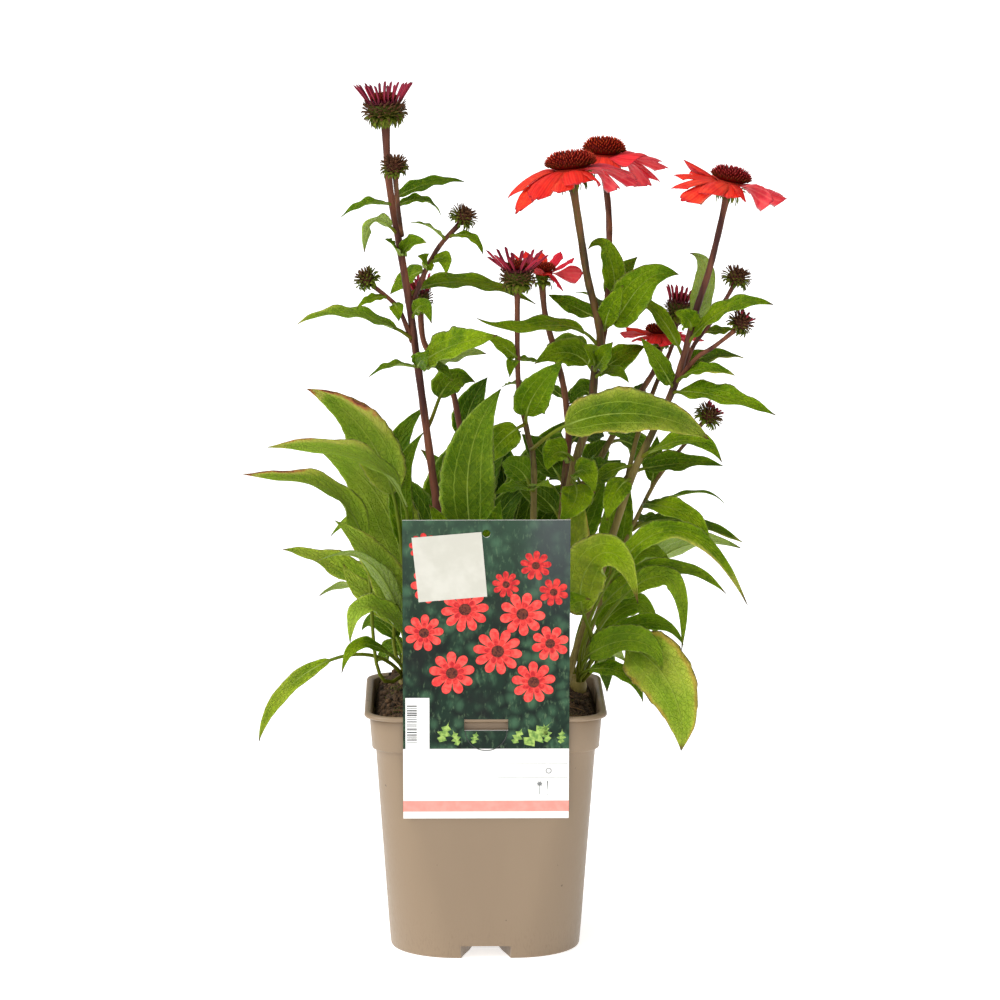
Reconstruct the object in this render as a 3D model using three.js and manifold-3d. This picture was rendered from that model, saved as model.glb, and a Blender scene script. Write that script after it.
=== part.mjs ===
// A coneflower in bloom with its square nursery pot, its soil and its hanging label.
// Millimetres, +Z up. The front, where the label hangs, faces -Y.
import * as THREE from 'three';
import Module from 'manifold-3d';

const wasm = await Module();
wasm.setup();

// ---------------------------------------------------------------- driving dimensions
const GAP = 0.35; // free space between two pieces that touch
const POT_HEIGHT = 156;
const RIM_HALF = 75; // half the width over the lip
const BAND_HALF = 71.7; // half the width of the collar under the lip
const BODY_HALF = 68; // half the width of the tapered body, at its top
const FOOT_HALF = 59.4; // and at its foot
const COLLAR_BASE = 132; // height where the body steps out to the collar
const WALL = 1.4;
const RIM_CORNER = 20; // corner radii, tight at the rim and nearly round at the foot
const FOOT_CORNER = 42;
const CORNER_STEPS = 4;
const FLOOR_TOP = 10.2; // inside of the pot's floor
const CHANNEL_HEIGHT = 8; // drain channels that cross under the floor
const CHANNEL_WIDTH = 16;
const CHANNEL_MOUTH = 33; // width where a channel opens at the wall
const DRAIN_HOLE = 4.5; // radius

const SOIL_EDGE = 147; // height of the soil along the wall
const SOIL_RISE = 17; // the root ball stands this much higher at the middle and back
const SOIL_DIP = 3; // what is left of that rise along the front wall
const ROOT_DEPTH = 8; // how deep a stem stands in its hole

const CARD_WIDTH = 102;
const CARD_LENGTH = 193;
const CARD_FOOT = 91; // height of the card's lower edge
const CARD_THICK = 0.8;
const CARD_LEAN = 0.15; // forward lean, per millimetre of height
const SLOT_WIDTH = 27; // slot through which the lip shows
const SLOT_BASE = 148;
const SLOT_TOP = 155.2;
const HOOK_WIDTH = 24; // tab that is folded back over the lip

const LEAF_THICK = 0.7;
const LEAF_FOLD = 0.3; // radians that each half of a blade rises from the midrib
const LEAF_WAVE = 0.13; // ripple of the margin, as a share of the half width
const STEM_SIDES = 5;
const CROWN_SIDES = 8;
const PETIOLE_HALF = 1.0;
const SCRAP = 0.08; // edges shorter than this are drawn together where pieces join
const LEAF_START = 0.8; // how far from its stem's axis a leaf starts
const LONG_STALK = 0.25; // share of a leaf's length
const FOLDED_WIDTH = 20; // narrower blades are flat across
const BROAD_WIDTH = 20; // wider blades are drawn in four steps

// ---------------------------------------------------------------- helpers
const vec = (x, y, z) => new THREE.Vector3(x, y, z);
const UP = vec(0, 0, 1);

// A repeatable draw from 0 to 1 for two whole numbers.
function draw(first, second) {
  const spread = Math.sin(first * 12.9898 + second * 78.233) * 43758.5453;
  return spread - Math.floor(spread);
}

function toSolid(points, faces) {
  let volume = 0;
  for (const [a, b, c] of faces) volume += points[a].dot(vec(0, 0, 0).crossVectors(points[b], points[c]));
  const turned = volume < 0 ? faces.map(([a, b, c]) => [a, c, b]) : faces;
  return new wasm.Manifold(new wasm.Mesh({
    numProp: 3,
    vertProperties: new Float32Array(points.flatMap((p) => [p.x, p.y, p.z])),
    triVerts: new Uint32Array(turned.flat()),
  }));
}

// A closed solid through a stack of rings with as many points each. An end is closed by a fan
// from its apex, or from the ring's first point. With alike, the two faces of a thin blade are
// split into triangles the same way.
function loft(rings, { start = null, end = null, alike = false } = {}) {
  const count = rings[0].length;
  const points = rings.flat();
  const faces = [];
  for (let ring = 0; ring + 1 < rings.length; ring += 1) {
    for (let i = 0; i < count; i += 1) {
      const j = (i + 1) % count;
      const low = ring * count;
      const high = low + count;
      const turned = alike && i >= 2 && i <= count / 2;
      if (turned) faces.push([low + i, low + j, high + i], [low + j, high + j, high + i]);
      else faces.push([low + i, low + j, high + j], [low + i, high + j, high + i]);
    }
  }
  const close = (first, apex, sense) => {
    let hub = first;
    if (apex) hub = points.push(apex) - 1;
    for (let i = 0; i < count; i += 1) {
      const a = first + i;
      const b = first + (i + 1) % count;
      if (a !== hub && b !== hub) faces.push(sense > 0 ? [hub, a, b] : [hub, b, a]);
    }
  };
  close(0, start, -1);
  close((rings.length - 1) * count, end, 1);
  return toSolid(points, faces);
}

// Two directions across an axis, the first as near to +X as it can be.
function across(axis) {
  const first = vec(1, 0, 0).addScaledVector(axis, -axis.x).normalize();
  return [first, vec(0, 0, 0).crossVectors(axis, first)];
}

// A round bar through points, with a radius at each.
function bar(points, radii, sides = STEM_SIDES) {
  const rings = points.map((point, i) => {
    const before = points[Math.max(i - 1, 0)];
    const after = points[Math.min(i + 1, points.length - 1)];
    const [u, w] = across(after.clone().sub(before).normalize());
    return Array.from({ length: sides }, (_, k) => {
      const angle = (k / sides) * 2 * Math.PI;
      return point.clone()
        .addScaledVector(u, radii[i] * Math.cos(angle))
        .addScaledVector(w, radii[i] * Math.sin(angle));
    });
  });
  return loft(rings);
}

// A smooth curve through a few points, by their distances along it (Lagrange's formula).
function curveThrough(points) {
  const marks = [0];
  for (let i = 1; i < points.length; i += 1) {
    marks.push(marks[i - 1] + points[i].distanceTo(points[i - 1]));
  }
  const whole = marks[marks.length - 1];
  return (share) => {
    const t = share * whole;
    const at = vec(0, 0, 0);
    points.forEach((point, i) => {
      let weight = 1;
      marks.forEach((mark, j) => {
        if (j !== i) weight *= (t - mark) / (marks[i] - mark);
      });
      at.addScaledVector(point, weight);
    });
    return at;
  };
}

// One cross-section of a thin blade: a V of six points where it is folded along its midrib,
// or a flat bar of four.
function bladeRing({ at, along, facing, half, fold, ripple, thick }) {
  const side = vec(0, 0, 0).crossVectors(along, facing).normalize();
  const normal = vec(0, 0, 0).crossVectors(side, along).normalize();
  const raised = (half * Math.sin(fold)) / 2;
  const edge = (sense, lift) => at.clone()
    .addScaledVector(side, sense * half * Math.cos(fold))
    .addScaledVector(normal, raised + sense * ripple + lift);
  const t = thick / 2;
  if (fold === 0) return [edge(-1, t), edge(1, t), edge(1, -t), edge(-1, -t)];
  const rib = (lift) => at.clone().addScaledVector(normal, lift - raised);
  return [rib(t), edge(1, t), edge(1, -t), rib(-t), edge(-1, -t), edge(-1, t)];
}

// ---------------------------------------------------------------- pot
function roundedSquare(half, corner, z) {
  const points = [];
  for (let quarter = 0; quarter < 4; quarter += 1) {
    for (let step = 0; step <= CORNER_STEPS; step += 1) {
      const angle = (quarter + step / CORNER_STEPS) * (Math.PI / 2);
      const [sx, sy] = [[1, 1], [-1, 1], [-1, -1], [1, -1]][quarter];
      points.push(vec(
        sx * (half - corner) + corner * Math.cos(angle),
        sy * (half - corner) + corner * Math.sin(angle),
        z,
      ));
    }
  }
  return points;
}

// The corner radius of the body at a height.
function cornerAt(z) {
  return FOOT_CORNER + (RIM_CORNER - FOOT_CORNER) * Math.min(z / COLLAR_BASE, 1);
}

// Half the body's width at a height.
function bodyHalf(z) {
  return FOOT_HALF + (BODY_HALF - FOOT_HALF) * (z / COLLAR_BASE);
}

function prism(outline, low, high) {
  return loft([low, high].map((z) => outline.map(([x, y]) => vec(x, y, z))));
}

function roundPrism(x, y, radius, low, high, sides) {
  const outline = Array.from({ length: sides }, (_, k) => {
    const angle = (k / sides) * 2 * Math.PI;
    return [x + radius * Math.cos(angle), y + radius * Math.sin(angle)];
  });
  return prism(outline, low, high);
}

function makePot() {
  const outside = [
    roundedSquare(FOOT_HALF - 1.5, FOOT_CORNER - 1.5, 0),
    roundedSquare(FOOT_HALF, FOOT_CORNER, 2),
    roundedSquare(BODY_HALF, RIM_CORNER, COLLAR_BASE),
    roundedSquare(BAND_HALF - 1.4, RIM_CORNER, COLLAR_BASE + 0.8),
    roundedSquare(BAND_HALF, RIM_CORNER, 151.5),
    roundedSquare(BAND_HALF - 0.6, RIM_CORNER, 152.4),
    roundedSquare(RIM_HALF - 0.6, RIM_CORNER, 153),
    roundedSquare(RIM_HALF, RIM_CORNER, 154.6),
    roundedSquare(RIM_HALF - 0.8, RIM_CORNER, POT_HEIGHT),
  ];
  const inside = [
    roundedSquare(BAND_HALF - WALL + 1, RIM_CORNER - 1, POT_HEIGHT - 0.3),
    roundedSquare(BAND_HALF - WALL - 0.2, RIM_CORNER - 1, 151),
    roundedSquare(BAND_HALF - 1.4 - WALL, RIM_CORNER - 1, COLLAR_BASE + 2),
    roundedSquare(BODY_HALF - WALL, RIM_CORNER - 1, COLLAR_BASE - 1),
    roundedSquare(bodyHalf(12) - WALL, cornerAt(12) - 1, FLOOR_TOP + 1.5),
    roundedSquare(bodyHalf(12) - WALL - 1.5, cornerAt(12) - 2, FLOOR_TOP),
  ];
  let pot = loft([...outside, ...inside], { start: vec(0, 0, 0), end: vec(0, 0, FLOOR_TOP) });
  // One side of a channel, from the middle out to its flared mouth.
  const flare = [[26, CHANNEL_WIDTH / 2], [38, 10.3], [49, 13.4], [FOOT_HALF + 4, CHANNEL_MOUTH / 2]];
  const oneSide = [...[...flare].reverse().map(([x, y]) => [-x, y]), ...flare];
  const outline = [...oneSide.map(([x, y]) => [x, -y]), ...[...oneSide].reverse()];
  for (const turn of [0, 1]) {
    const channel = outline.map(([x, y]) => (turn ? [-y, x] : [x, y]));
    pot = pot.subtract(prismCut(channel, -1, CHANNEL_HEIGHT));
  }
  for (const [x, y] of [[0, 0], [32, 0], [-32, 0], [0, 32], [0, -32]]) {
    pot = pot.subtract(roundPrism(x, y, DRAIN_HOLE, CHANNEL_HEIGHT - 2, FLOOR_TOP + 2, 6));
  }
  return pot;
}

// A prism over an outline that isn't convex, closed by three.js's own triangulation.
function prismCut(outline, low, high) {
  const flat = outline.map(([x, y]) => new THREE.Vector2(x, y));
  const caps = THREE.ShapeUtils.triangulateShape(flat, []);
  const count = outline.length;
  const points = [low, high].flatMap((z) => outline.map(([x, y]) => vec(x, y, z)));
  const faces = [];
  for (const [a, b, c] of caps) faces.push([a, c, b], [a + count, b + count, c + count]);
  for (let i = 0; i < count; i += 1) {
    const j = (i + 1) % count;
    faces.push([i, j, j + count], [i, j + count, i + count]);
  }
  return toSolid(points, faces);
}

// ---------------------------------------------------------------- soil
const SOIL_HALF = BAND_HALF - 1.4 - WALL - GAP;

function soilTop(x, y) {
  const out = Math.min(Math.max(Math.abs(x), Math.abs(y)) / SOIL_HALF, 1);
  const back = Math.min(Math.max((y + SOIL_HALF) / SOIL_HALF, 0), 1);
  return SOIL_EDGE + (SOIL_DIP + (SOIL_RISE - SOIL_DIP) * back) * (1 - out ** 6);
}

function makeSoil(roots) {
  const sides = [
    roundedSquare(bodyHalf(12) - WALL - 1.5 - GAP, cornerAt(12) - 2, FLOOR_TOP + GAP),
    roundedSquare(bodyHalf(14) - WALL - GAP, cornerAt(14) - 1, FLOOR_TOP + 3),
    roundedSquare(BODY_HALF - WALL - GAP, RIM_CORNER - 1, COLLAR_BASE - 0.5),
    roundedSquare(SOIL_HALF, RIM_CORNER - 1, COLLAR_BASE + 2.5),
  ];
  const topRings = [1, 0.9, 0.68, 0.4].map((share, ring) => (
    roundedSquare(SOIL_HALF * share, (RIM_CORNER - 1) * share, 0).map((p, i) => {
      const lump = ring === 0 ? 0 : 2.4 * (draw(ring, i) - 0.5);
      return vec(p.x, p.y, soilTop(p.x, p.y) + lump);
    })
  ));
  let soil = loft([...sides, ...topRings], {
    start: vec(0, 0, FLOOR_TOP + GAP),
    end: vec(0, 0, soilTop(0, 0)),
  });
  for (const { x, y, radius, sides } of roots) {
    const top = soilTop(x, y);
    soil = soil.subtract(roundPrism(x, y, radius + GAP + 0.1, top - ROOT_DEPTH - GAP, top + 12, sides));
  }
  return soil;
}

// ---------------------------------------------------------------- label card
// The card's back at a height: it leans forward from the foot, clear of the lip.
function cardBack(z) {
  return -(RIM_HALF + GAP + 0.1) - CARD_LEAN * (z - 154.6);
}

function makeCard() {
  const lean = Math.atan(CARD_LEAN);
  const rise = Math.cos(lean);
  const along = (z) => (z - CARD_FOOT) / rise;
  const half = CARD_WIDTH / 2;
  const outline = new THREE.Shape();
  outline.moveTo(-half, 0);
  outline.lineTo(half, 0);
  outline.lineTo(half, CARD_LENGTH);
  outline.lineTo(-half, CARD_LENGTH);
  const slot = new THREE.Path();
  slot.moveTo(-SLOT_WIDTH / 2, along(SLOT_BASE));
  slot.lineTo(SLOT_WIDTH / 2, along(SLOT_BASE));
  slot.lineTo(SLOT_WIDTH / 2, along(SLOT_TOP));
  slot.lineTo(-SLOT_WIDTH / 2, along(SLOT_TOP));
  const punched = new THREE.Path();
  punched.absarc(0, CARD_LENGTH - 8.5, 2.5, 0, 2 * Math.PI);
  outline.holes.push(slot, punched);
  const plate = new THREE.ExtrudeGeometry(outline, {
    depth: CARD_THICK, bevelEnabled: false, curveSegments: 5,
  });
  plate.rotateX(Math.PI / 2 + lean);
  plate.translate(0, cardBack(CARD_FOOT), CARD_FOOT);
  const hookTop = POT_HEIGHT + GAP;
  const hookBack = -(BAND_HALF - WALL - 0.2 - 1.4);
  const hookFront = cardBack(hookTop) - CARD_THICK / 2;
  const profile = [
    [hookFront, hookTop], [hookBack - CARD_THICK, hookTop], [hookBack - CARD_THICK, hookTop - 6.5],
    [hookBack, hookTop - 6.5], [hookBack, hookTop + CARD_THICK], [hookFront, hookTop + CARD_THICK],
  ];
  const hook = prismCut(profile, -HOOK_WIDTH / 2, HOOK_WIDTH / 2)
    .rotate([90, 0, 90]);
  return fromGeometry(plate).add(hook);
}

function fromGeometry(geometry) {
  const flat = geometry.index ? geometry.toNonIndexed() : geometry;
  const place = flat.getAttribute('position');
  const known = new Map();
  const points = [];
  const corners = [];
  for (let i = 0; i < place.count; i += 1) {
    const point = vec(place.getX(i), place.getY(i), place.getZ(i));
    const key = [point.x, point.y, point.z].map((c) => c.toFixed(4)).join(' ');
    if (!known.has(key)) known.set(key, points.push(point) - 1);
    corners.push(known.get(key));
  }
  const faces = [];
  for (let i = 0; i < corners.length; i += 3) faces.push(corners.slice(i, i + 3));
  return toSolid(points, faces);
}

// ---------------------------------------------------------------- stems
// Each stem: the points from the soil up, its radius at foot and top, and its side branches,
// which start inside it.
const STEMS = {
  stem_tall_left: {
    path: [[-16, -14], [-29, -15, 270], [-32, -15, 294], [-37, -16, 332], [-42, -17, 370],
      [-47, -18, 407], [-53, -19, 444], [-59, -20, 481], [-61, -20, 518]],
    radii: [2.8, 2.5],
    branches: [
      { path: [[-51, -19, 447], [-53, -29, 463], [-55, -34, 486]], radii: [1.4, 1.5] },
      { path: [[-44, -18, 407], [-37, -16, 424], [-28, -14, 440], [-16, -12, 453]], radii: [1.7, 1.4] },
      { path: [[-45, -17, 381], [-52, -22, 400], [-58, -26, 408], [-69, -28, 417]], radii: [1.6, 1.2] },
    ],
  },
  stem_young_left: {
    path: [[-2, 22], [-9, 20, 276], [-17, 20, 332], [-21, 20, 347], [-30, 21, 363],
      [-38, 22, 377], [-40, 22, 397]],
    radii: [2.0, 1.8],
    branches: [],
  },
  stem_front: {
    path: [[26, -26], [30, -22, 273], [30, -20, 307], [27, -20, 321], [25, -20, 331],
      [21, -20, 352], [20, -21, 379], [20, -22, 415]],
    radii: [2.0, 1.6],
    branches: [],
  },
  stem_centre_back: {
    path: [[42, 30], [50, 22, 282], [53, 20, 314], [51, 20, 340], [48, 18, 356], [43, 15, 375],
      [38, 12, 394], [36, 10, 413]],
    radii: [2.3, 1.8],
    branches: [],
  },
  stem_centre: {
    path: [[34, 2], [53, 0, 286], [58, 0, 308], [66, 0, 333], [69, 0, 365], [72, -1, 380],
      [69, -3, 399], [64, -6, 418], [59, -11, 448], [54, -14, 479.5]],
    radii: [3.0, 2.6],
    branches: [
      { path: [[73, 0, 377], [77, 16, 402], [79, 44, 434], [79, 63, 457], [76, 71, 480.5]],
        radii: [2.1, 2.3] },
    ],
  },
  stem_right: {
    path: [[50, -12], [65, -4, 208], [79, -6, 255], [92, -8, 296], [103, -9, 320], [116, -10, 348],
      [123, -11, 369], [131, -12, 400], [138, -12, 422], [144, -12, 446], [149.5, -12, 471.5]],
    radii: [3.2, 2.3],
    branches: [
      { path: [[123, -10, 361], [130, -4, 377], [142, 2, 392], [151, 5, 406], [155, 6, 413]],
        radii: [1.5, 1.3] },
      { path: [[120, -11, 356], [131, -19, 371], [142, -24, 379], [154, -27, 389]], radii: [1.5, 1.3] },
      { path: [[86, -6, 279], [95, 12, 315], [108, 32, 347], [119, 44, 371], [122, 47, 387]],
        radii: [1.7, 1.4] },
    ],
  },
  stem_right_back: {
    path: [[30, 46], [59, 34, 273], [73, 32, 300], [86, 30, 324], [101, 25, 348], [108, 20, 361],
      [110, 18, 373]],
    radii: [2.2, 1.7],
    branches: [],
  },
  stem_low_right: {
    path: [[58, 34], [77, 30, 217], [88, 26, 246], [104, 16, 282], [113, 12, 297], [127, 9, 315],
      [137, 9, 327]],
    radii: [1.8, 1.3],
    branches: [],
  },
};

// The crowns of leaves that grow straight from the soil.
const CROWN_RADIUS = 6.5;
const CROWN_HEIGHT = 9;
const CROWN_START = 4.2; // how far from the middle of the crown its leaves start
const CROWN_SPREAD = 1.2 * Math.PI; // and the arc over which they are spread
const CROWNS = {
  clump_left: [-48, 6],
  clump_front: [6, -44],
  clump_right: [58, 5],
  clump_back: [-14, 48],
};

// A stem's points: its first one stands upright in the soil.
function stemPoints(path) {
  const [[x, y], ...rest] = path;
  const ground = soilTop(x, y);
  return [vec(x, y, ground - ROOT_DEPTH), vec(x, y, ground + 3), ...rest.map((p) => vec(...p))];
}

// The point of a stem or branch at a height.
function onStem(points, z) {
  const last = points.length - 2;
  const i = Math.min(Math.max(points.findIndex((p) => p.z > z) - 1, 0), last);
  const step = points.findIndex((p) => p.z > z) < 0 ? last : i;
  const share = (z - points[step].z) / (points[step + 1].z - points[step].z);
  return points[step].clone().lerp(points[step + 1], share);
}

function barAlong(points, [foot, top]) {
  const radii = points.map((_, i) => foot + ((top - foot) * i) / (points.length - 1));
  return bar(points, radii);
}

// ---------------------------------------------------------------- leaves
// Each leaf: where it starts, the points that its midrib passes through up to the tip, its
// width, the way its upper face looks (degrees: 0 up, 90 to the front, minus to the back), and
// the share of its length that is stalk. On a stem it starts at a height on branch 0, 1, 2 or 3.
const LEAVES = {
  stem_tall_left: [
    [0, 466, [[-70, -30, 469], [-89, -34, 460]], 12, 18, 0.08],
    [0, 464, [[-37, -14, 469], [-26, -8, 459]], 12, 20, 0.08],
    [0, 469, [[-37, -8, 478], [-12, 4, 479]], 13, 28, 0.06],
    [0, 448, [[-69, -34, 458], [-74, -40, 439]], 13, -35, 0.1],
    [0, 434, [[-42, -34, 445], [-36, -38, 445]], 13, 55, 0.06],
    [0, 434, [[-56, -30, 443], [-61, -36, 447]], 10, 40, 0.06],
    [0, 410, [[-28, -8, 417], [3, 2, 414], [33, 6, 403]], 18, 28, 0.1],
    [2, 444, [[-33, -20, 453], [-46, -24, 456]], 7, 14, 0.08],
    [2, 446, [[-8, -20, 446], [-1, -24, 436]], 9, 24, 0.08],
    [2, 427, [[-37, -26, 433], [-41, -30, 436]], 11, 60, 0.06],
    [2, 430, [[-25, -26, 433], [-24, -30, 424]], 11, 50, 0.06],
    [2, 425, [[-47, -2, 420], [-59, 6, 408]], 13, 58, 0.08],
    [3, 410, [[-70, -36, 410], [-79, -40, 405]], 8, 34, 0.06],
    [3, 406, [[-54, -34, 403], [-53, -36, 396]], 9, 60, 0.06],
    [0, 382, [[-63, -28, 395], [-95, -40, 402], [-116, -44, 396]], 18, 24, 0.16],
    [0, 395, [[-38, -30, 405], [-33, -38, 395]], 11, 60, 0.08],
    [0, 365, [[-54, -28, 369], [-72, -36, 362]], 11, 10, 0.06],
    [0, 365, [[-30, -30, 368], [-20, -40, 360]], 11, 18, 0.06],
    [0, 365, [[-39, -30, 373], [-35, -34, 379]], 13, 75, 0.1],
    [0, 365, [[-29, -36, 378], [-10, -58, 387], [7, -64, 391]], 24, 58, 0.1],
    [0, 363, [[-24, -2, 370], [1, 6, 372]], 19, -55, 0.12],
    [0, 326, [[-28, 0, 344], [-19, 14, 354], [-5, 22, 351]], 20, 52, 0.4],
  ],
  stem_front: [
    [0, 371, [[11, -30, 380], [0, -36, 387]], 11, 62, 0.06],
    [0, 371, [[28, -10, 369], [35, -4, 367]], 9, 28, 0.1],
    [0, 369, [[16, -36, 369], [15, -42, 362]], 8, 40, 0.1],
    [0, 354, [[17, -4, 354], [10, 4, 350]], 8, 14, 0.1],
    [0, 330, [[29, -40, 349], [47, -52, 373]], 23, 78, 0.14],
    [0, 330, [[12, -30, 323], [-1, -36, 305]], 20, 62, 0.14],
    [0, 288, [[19, -40, 294], [5, -50, 291]], 13, 28, 0.12],
    [0, 288, [[34, -42, 296], [41, -54, 295]], 12, 30, 0.12],
    [0, 314, [[35, -44, 323], [50, -64, 336], [93, -86, 346], [135, -96, 332]], 32, 56, 0.34],
    [0, 283, [[22, -4, 299], [10, 10, 302]], 20, 70, 0.3],
  ],
  stem_centre_back: [
    [0, 340, [[43, 28, 346], [38, 34, 350]], 8, 40, 0.1],
    [0, 338, [[63, 34, 347], [68, 40, 350]], 9, 30, 0.1],
    [0, 314, [[43, 40, 304], [33, 52, 290]], 22, 60, 0.15],
    [0, 309, [[64, 42, 316], [78, 58, 311]], 20, 60, 0.15],
  ],
  stem_centre: [
    [0, 376, [[43, -14, 392], [19, -26, 392], [-4, -32, 400]], 18, 30, 0.12],
    [0, 359, [[55, 12, 371], [31, 22, 364]], 20, 62, 0.12],
    [0, 360, [[48, 30, 375], [39, 38, 372]], 17, 50, 0.3],
    [0, 343, [[61, 20, 346], [53, 30, 337]], 16, 66, 0.12],
    [0, 394, [[56, 8, 400], [40, 14, 407]], 13, 50, 0.08],
    [1, 392, [[69, 26, 404], [57, 32, 407]], 8, -20, 0.1],
    [1, 404, [[79, 4, 428], [70, -2, 441], [64, -6, 438]], 15, 50, 0.14],
    [1, 401, [[85, 24, 417], [96, 28, 429]], 15, 62, 0.1],
    [1, 386, [[88, -8, 404], [103, -14, 421], [120, -16, 423]], 26, 60, 0.12],
    [1, 384, [[79, -12, 404], [85, -20, 416]], 14, 74, 0.12],
    [0, 357, [[86, 14, 368], [101, 22, 374]], 18, 62, 0.12],
    [0, 356, [[81, -16, 362], [89, -24, 357]], 12, 40, 0.14],
    [0, 360, [[65, -20, 375], [61, -28, 380]], 14, 62, 0.2],
    [0, 360, [[75, -24, 377], [78, -30, 383]], 14, 66, 0.2],
    [0, 337, [[79, 20, 327], [91, 30, 313]], 18, 58, 0.2],
    [0, 308, [[73, 20, 295], [87, 36, 300]], 20, 62, 0.2],
    [0, 303, [[44, -18, 312], [38, -30, 303]], 20, 62, 0.2],
    [0, 289, [[62, -22, 301], [68, -34, 289]], 18, 62, 0.2],
    [0, 293, [[54, -34, 281], [46, -46, 274]], 22, 74, 0.16],
  ],
  stem_right: [
    [0, 370, [[112, -4, 391], [97, -7, 405], [76, -12, 405]], 12, 34, 0.1],
    [0, 387, [[137, 6, 414], [133, 14, 431], [128, 14, 433]], 15, -64, 0.2],
    [0, 387, [[124, -26, 397], [117, -32, 401]], 15, 74, 0.1],
    [0, 378, [[141, -24, 398], [158, -34, 407], [177, -38, 407]], 18, 34, 0.1],
    [1, 385, [[144, 4, 385], [156, 10, 386]], 10, 34, 0.1],
    [0, 361, [[138, 6, 369], [163, 16, 367]], 14, 34, 0.12],
    [0, 354, [[135, -24, 365], [154, -32, 362]], 12, 34, 0.12],
    [0, 348, [[134, -26, 351], [157, -40, 347], [179, -46, 340]], 20, 34, 0.06],
    [0, 351, [[107, -24, 369], [96, -32, 385]], 13, 62, 0.06],
    [0, 298, [[113, 10, 302], [149, 22, 302]], 20, 32, 0.12],
    [0, 302, [[72, 12, 294], [59, 24, 278]], 13, 34, 0.12],
    [0, 294, [[81, -26, 288], [75, -36, 272]], 16, 64, 0.1],
    [0, 307, [[118, -30, 321], [132, -40, 322], [146, -46, 310]], 18, 32, 0.14],
    [0, 256, [[71, -30, 252], [63, -44, 261]], 13, 60, 0.2],
  ],
  stem_right_back: [
    [0, 335, [[99, 44, 343], [102, 50, 347]], 11, 60, 0.1],
    [0, 311, [[94, 48, 308], [107, 58, 289]], 20, 60, 0.2],
    [0, 290, [[73, 52, 303], [81, 60, 308]], 18, 66, 0.2],
    [0, 280, [[52, 54, 290], [41, 64, 282]], 18, 62, 0.2],
  ],
  stem_low_right: [
    [0, 284, [[107, 20, 300], [109, 26, 316]], 12, 66, 0.1],
    [0, 276, [[112, 0, 280], [139, -8, 285], [150, -10, 278]], 7, 8, 0.06],
    [0, 273, [[114, -8, 277], [129, -18, 271], [138, -24, 253]], 16, 44, 0.1],
    [0, 256, [[112, 20, 264], [139, 26, 259], [164, 30, 248]], 16, 28, 0.1],
    [0, 260, [[106, 34, 261], [124, 48, 256]], 18, 24, 0.14],
  ],
  clump_left: [
    [0, 0, [[-54, -6, 268], [-68, -16, 315], [-109, -32, 354]], 30, 62, 0.56],
    [0, 0, [[-50, -24, 283], [-71, -46, 312], [-99, -56, 321], [-133, -64, 323]], 22, 30, 0.5],
    [0, 0, [[-76, -20, 259], [-100, -36, 295], [-120, -46, 301], [-149, -50, 305]], 22, 34, 0.48],
    [0, 0, [[-52, 4, 241], [-69, 4, 285], [-102, 6, 309]], 36, 66, 0.42],
    [0, 0, [[-57, -22, 225], [-74, -34, 255], [-92, -40, 273]], 24, 58, 0.3],
    [0, 0, [[-58, 12, 208], [-87, 20, 232], [-127, 26, 245]], 24, 32, 0.4],
    [0, 0, [[-60, -36, 231], [-77, -50, 252], [-105, -60, 251]], 14, -34, 0.4],
    [0, 0, [[-62, 22, 212], [-81, 34, 219], [-105, 44, 212]], 14, -30, 0.4],
    [0, 0, [[-59, -12, 212], [-78, -18, 226], [-88, -22, 241]], 20, 62, 0.3],
    [0, 0, [[-59, -34, 214], [-74, -44, 221], [-84, -52, 200]], 20, 40, 0.42],
    [0, 0, [[-58, 20, 192], [-70, 30, 198], [-78, 36, 190]], 14, 52, 0.4],
    [0, 0, [[-58, 30, 179], [-69, 40, 169]], 18, 60, 0.3],
    [0, 0, [[-87, -18, 184], [-120, -26, 168], [-141, -30, 132]], 11, 52, 0.44],
    [0, 0, [[-62, -30, 189], [-78, -44, 196], [-89, -50, 179]], 11, 40, 0.45],
    [0, 0, [[-53, 18, 251], [-58, 22, 296], [-37, 26, 335]], 22, 62, 0.5],
    [0, 0, [[-47, -2, 242], [-52, -2, 292], [-38, -2, 323]], 16, 66, 0.5],
    [0, 0, [[-58, 34, 236], [-75, 44, 260], [-98, 54, 248]], 18, 46, 0.42],
  ],
  clump_front: [
    [0, 0, [[0, -46, 229], [-6, -50, 286], [9, -54, 357]], 36, 74, 0.5],
    [0, 0, [[-15, -52, 224], [-26, -58, 269], [-34, -62, 286]], 26, 66, 0.45],
    [0, 0, [[21, -54, 230], [33, -60, 251], [38, -66, 271]], 24, 70, 0.5],
    [0, 0, [[-10, -56, 200], [-28, -64, 227], [-44, -70, 238]], 26, 54, 0.4],
    [0, 0, [[27, -54, 200], [39, -64, 221], [64, -74, 229]], 24, 50, 0.4],
    [0, 0, [[-2, -54, 212], [0, -64, 252], [9, -72, 290]], 26, 76, 0.44],
  ],
  clump_right: [
    [0, 0, [[69, -16, 192], [60, -40, 236], [68, -50, 252], [93, -66, 225]], 31, 62, 0.42],
    [0, 0, [[66, -18, 194], [57, -31, 230], [56, -36, 257], [61, -38, 283]], 28, 72, 0.42],
    [0, 0, [[96, -40, 190], [105, -50, 184], [121, -56, 130]], 38, 76, 0.36],
    [0, 0, [[84, 6, 193], [104, 8, 200], [126, 10, 185]], 15, 44, 0.3],
    [0, 0, [[84, -24, 197], [99, -32, 197], [109, -36, 182]], 22, 58, 0.3],
    [0, 0, [[76, -30, 178], [88, -40, 175], [98, -44, 159]], 13, 46, 0.3],
    [0, 0, [[77, 30, 197], [93, 42, 206], [111, 50, 179]], 18, 58, 0.36],
    [0, 0, [[80, 8, 208], [106, 14, 228], [125, 20, 180]], 16, 54, 0.42],
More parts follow.
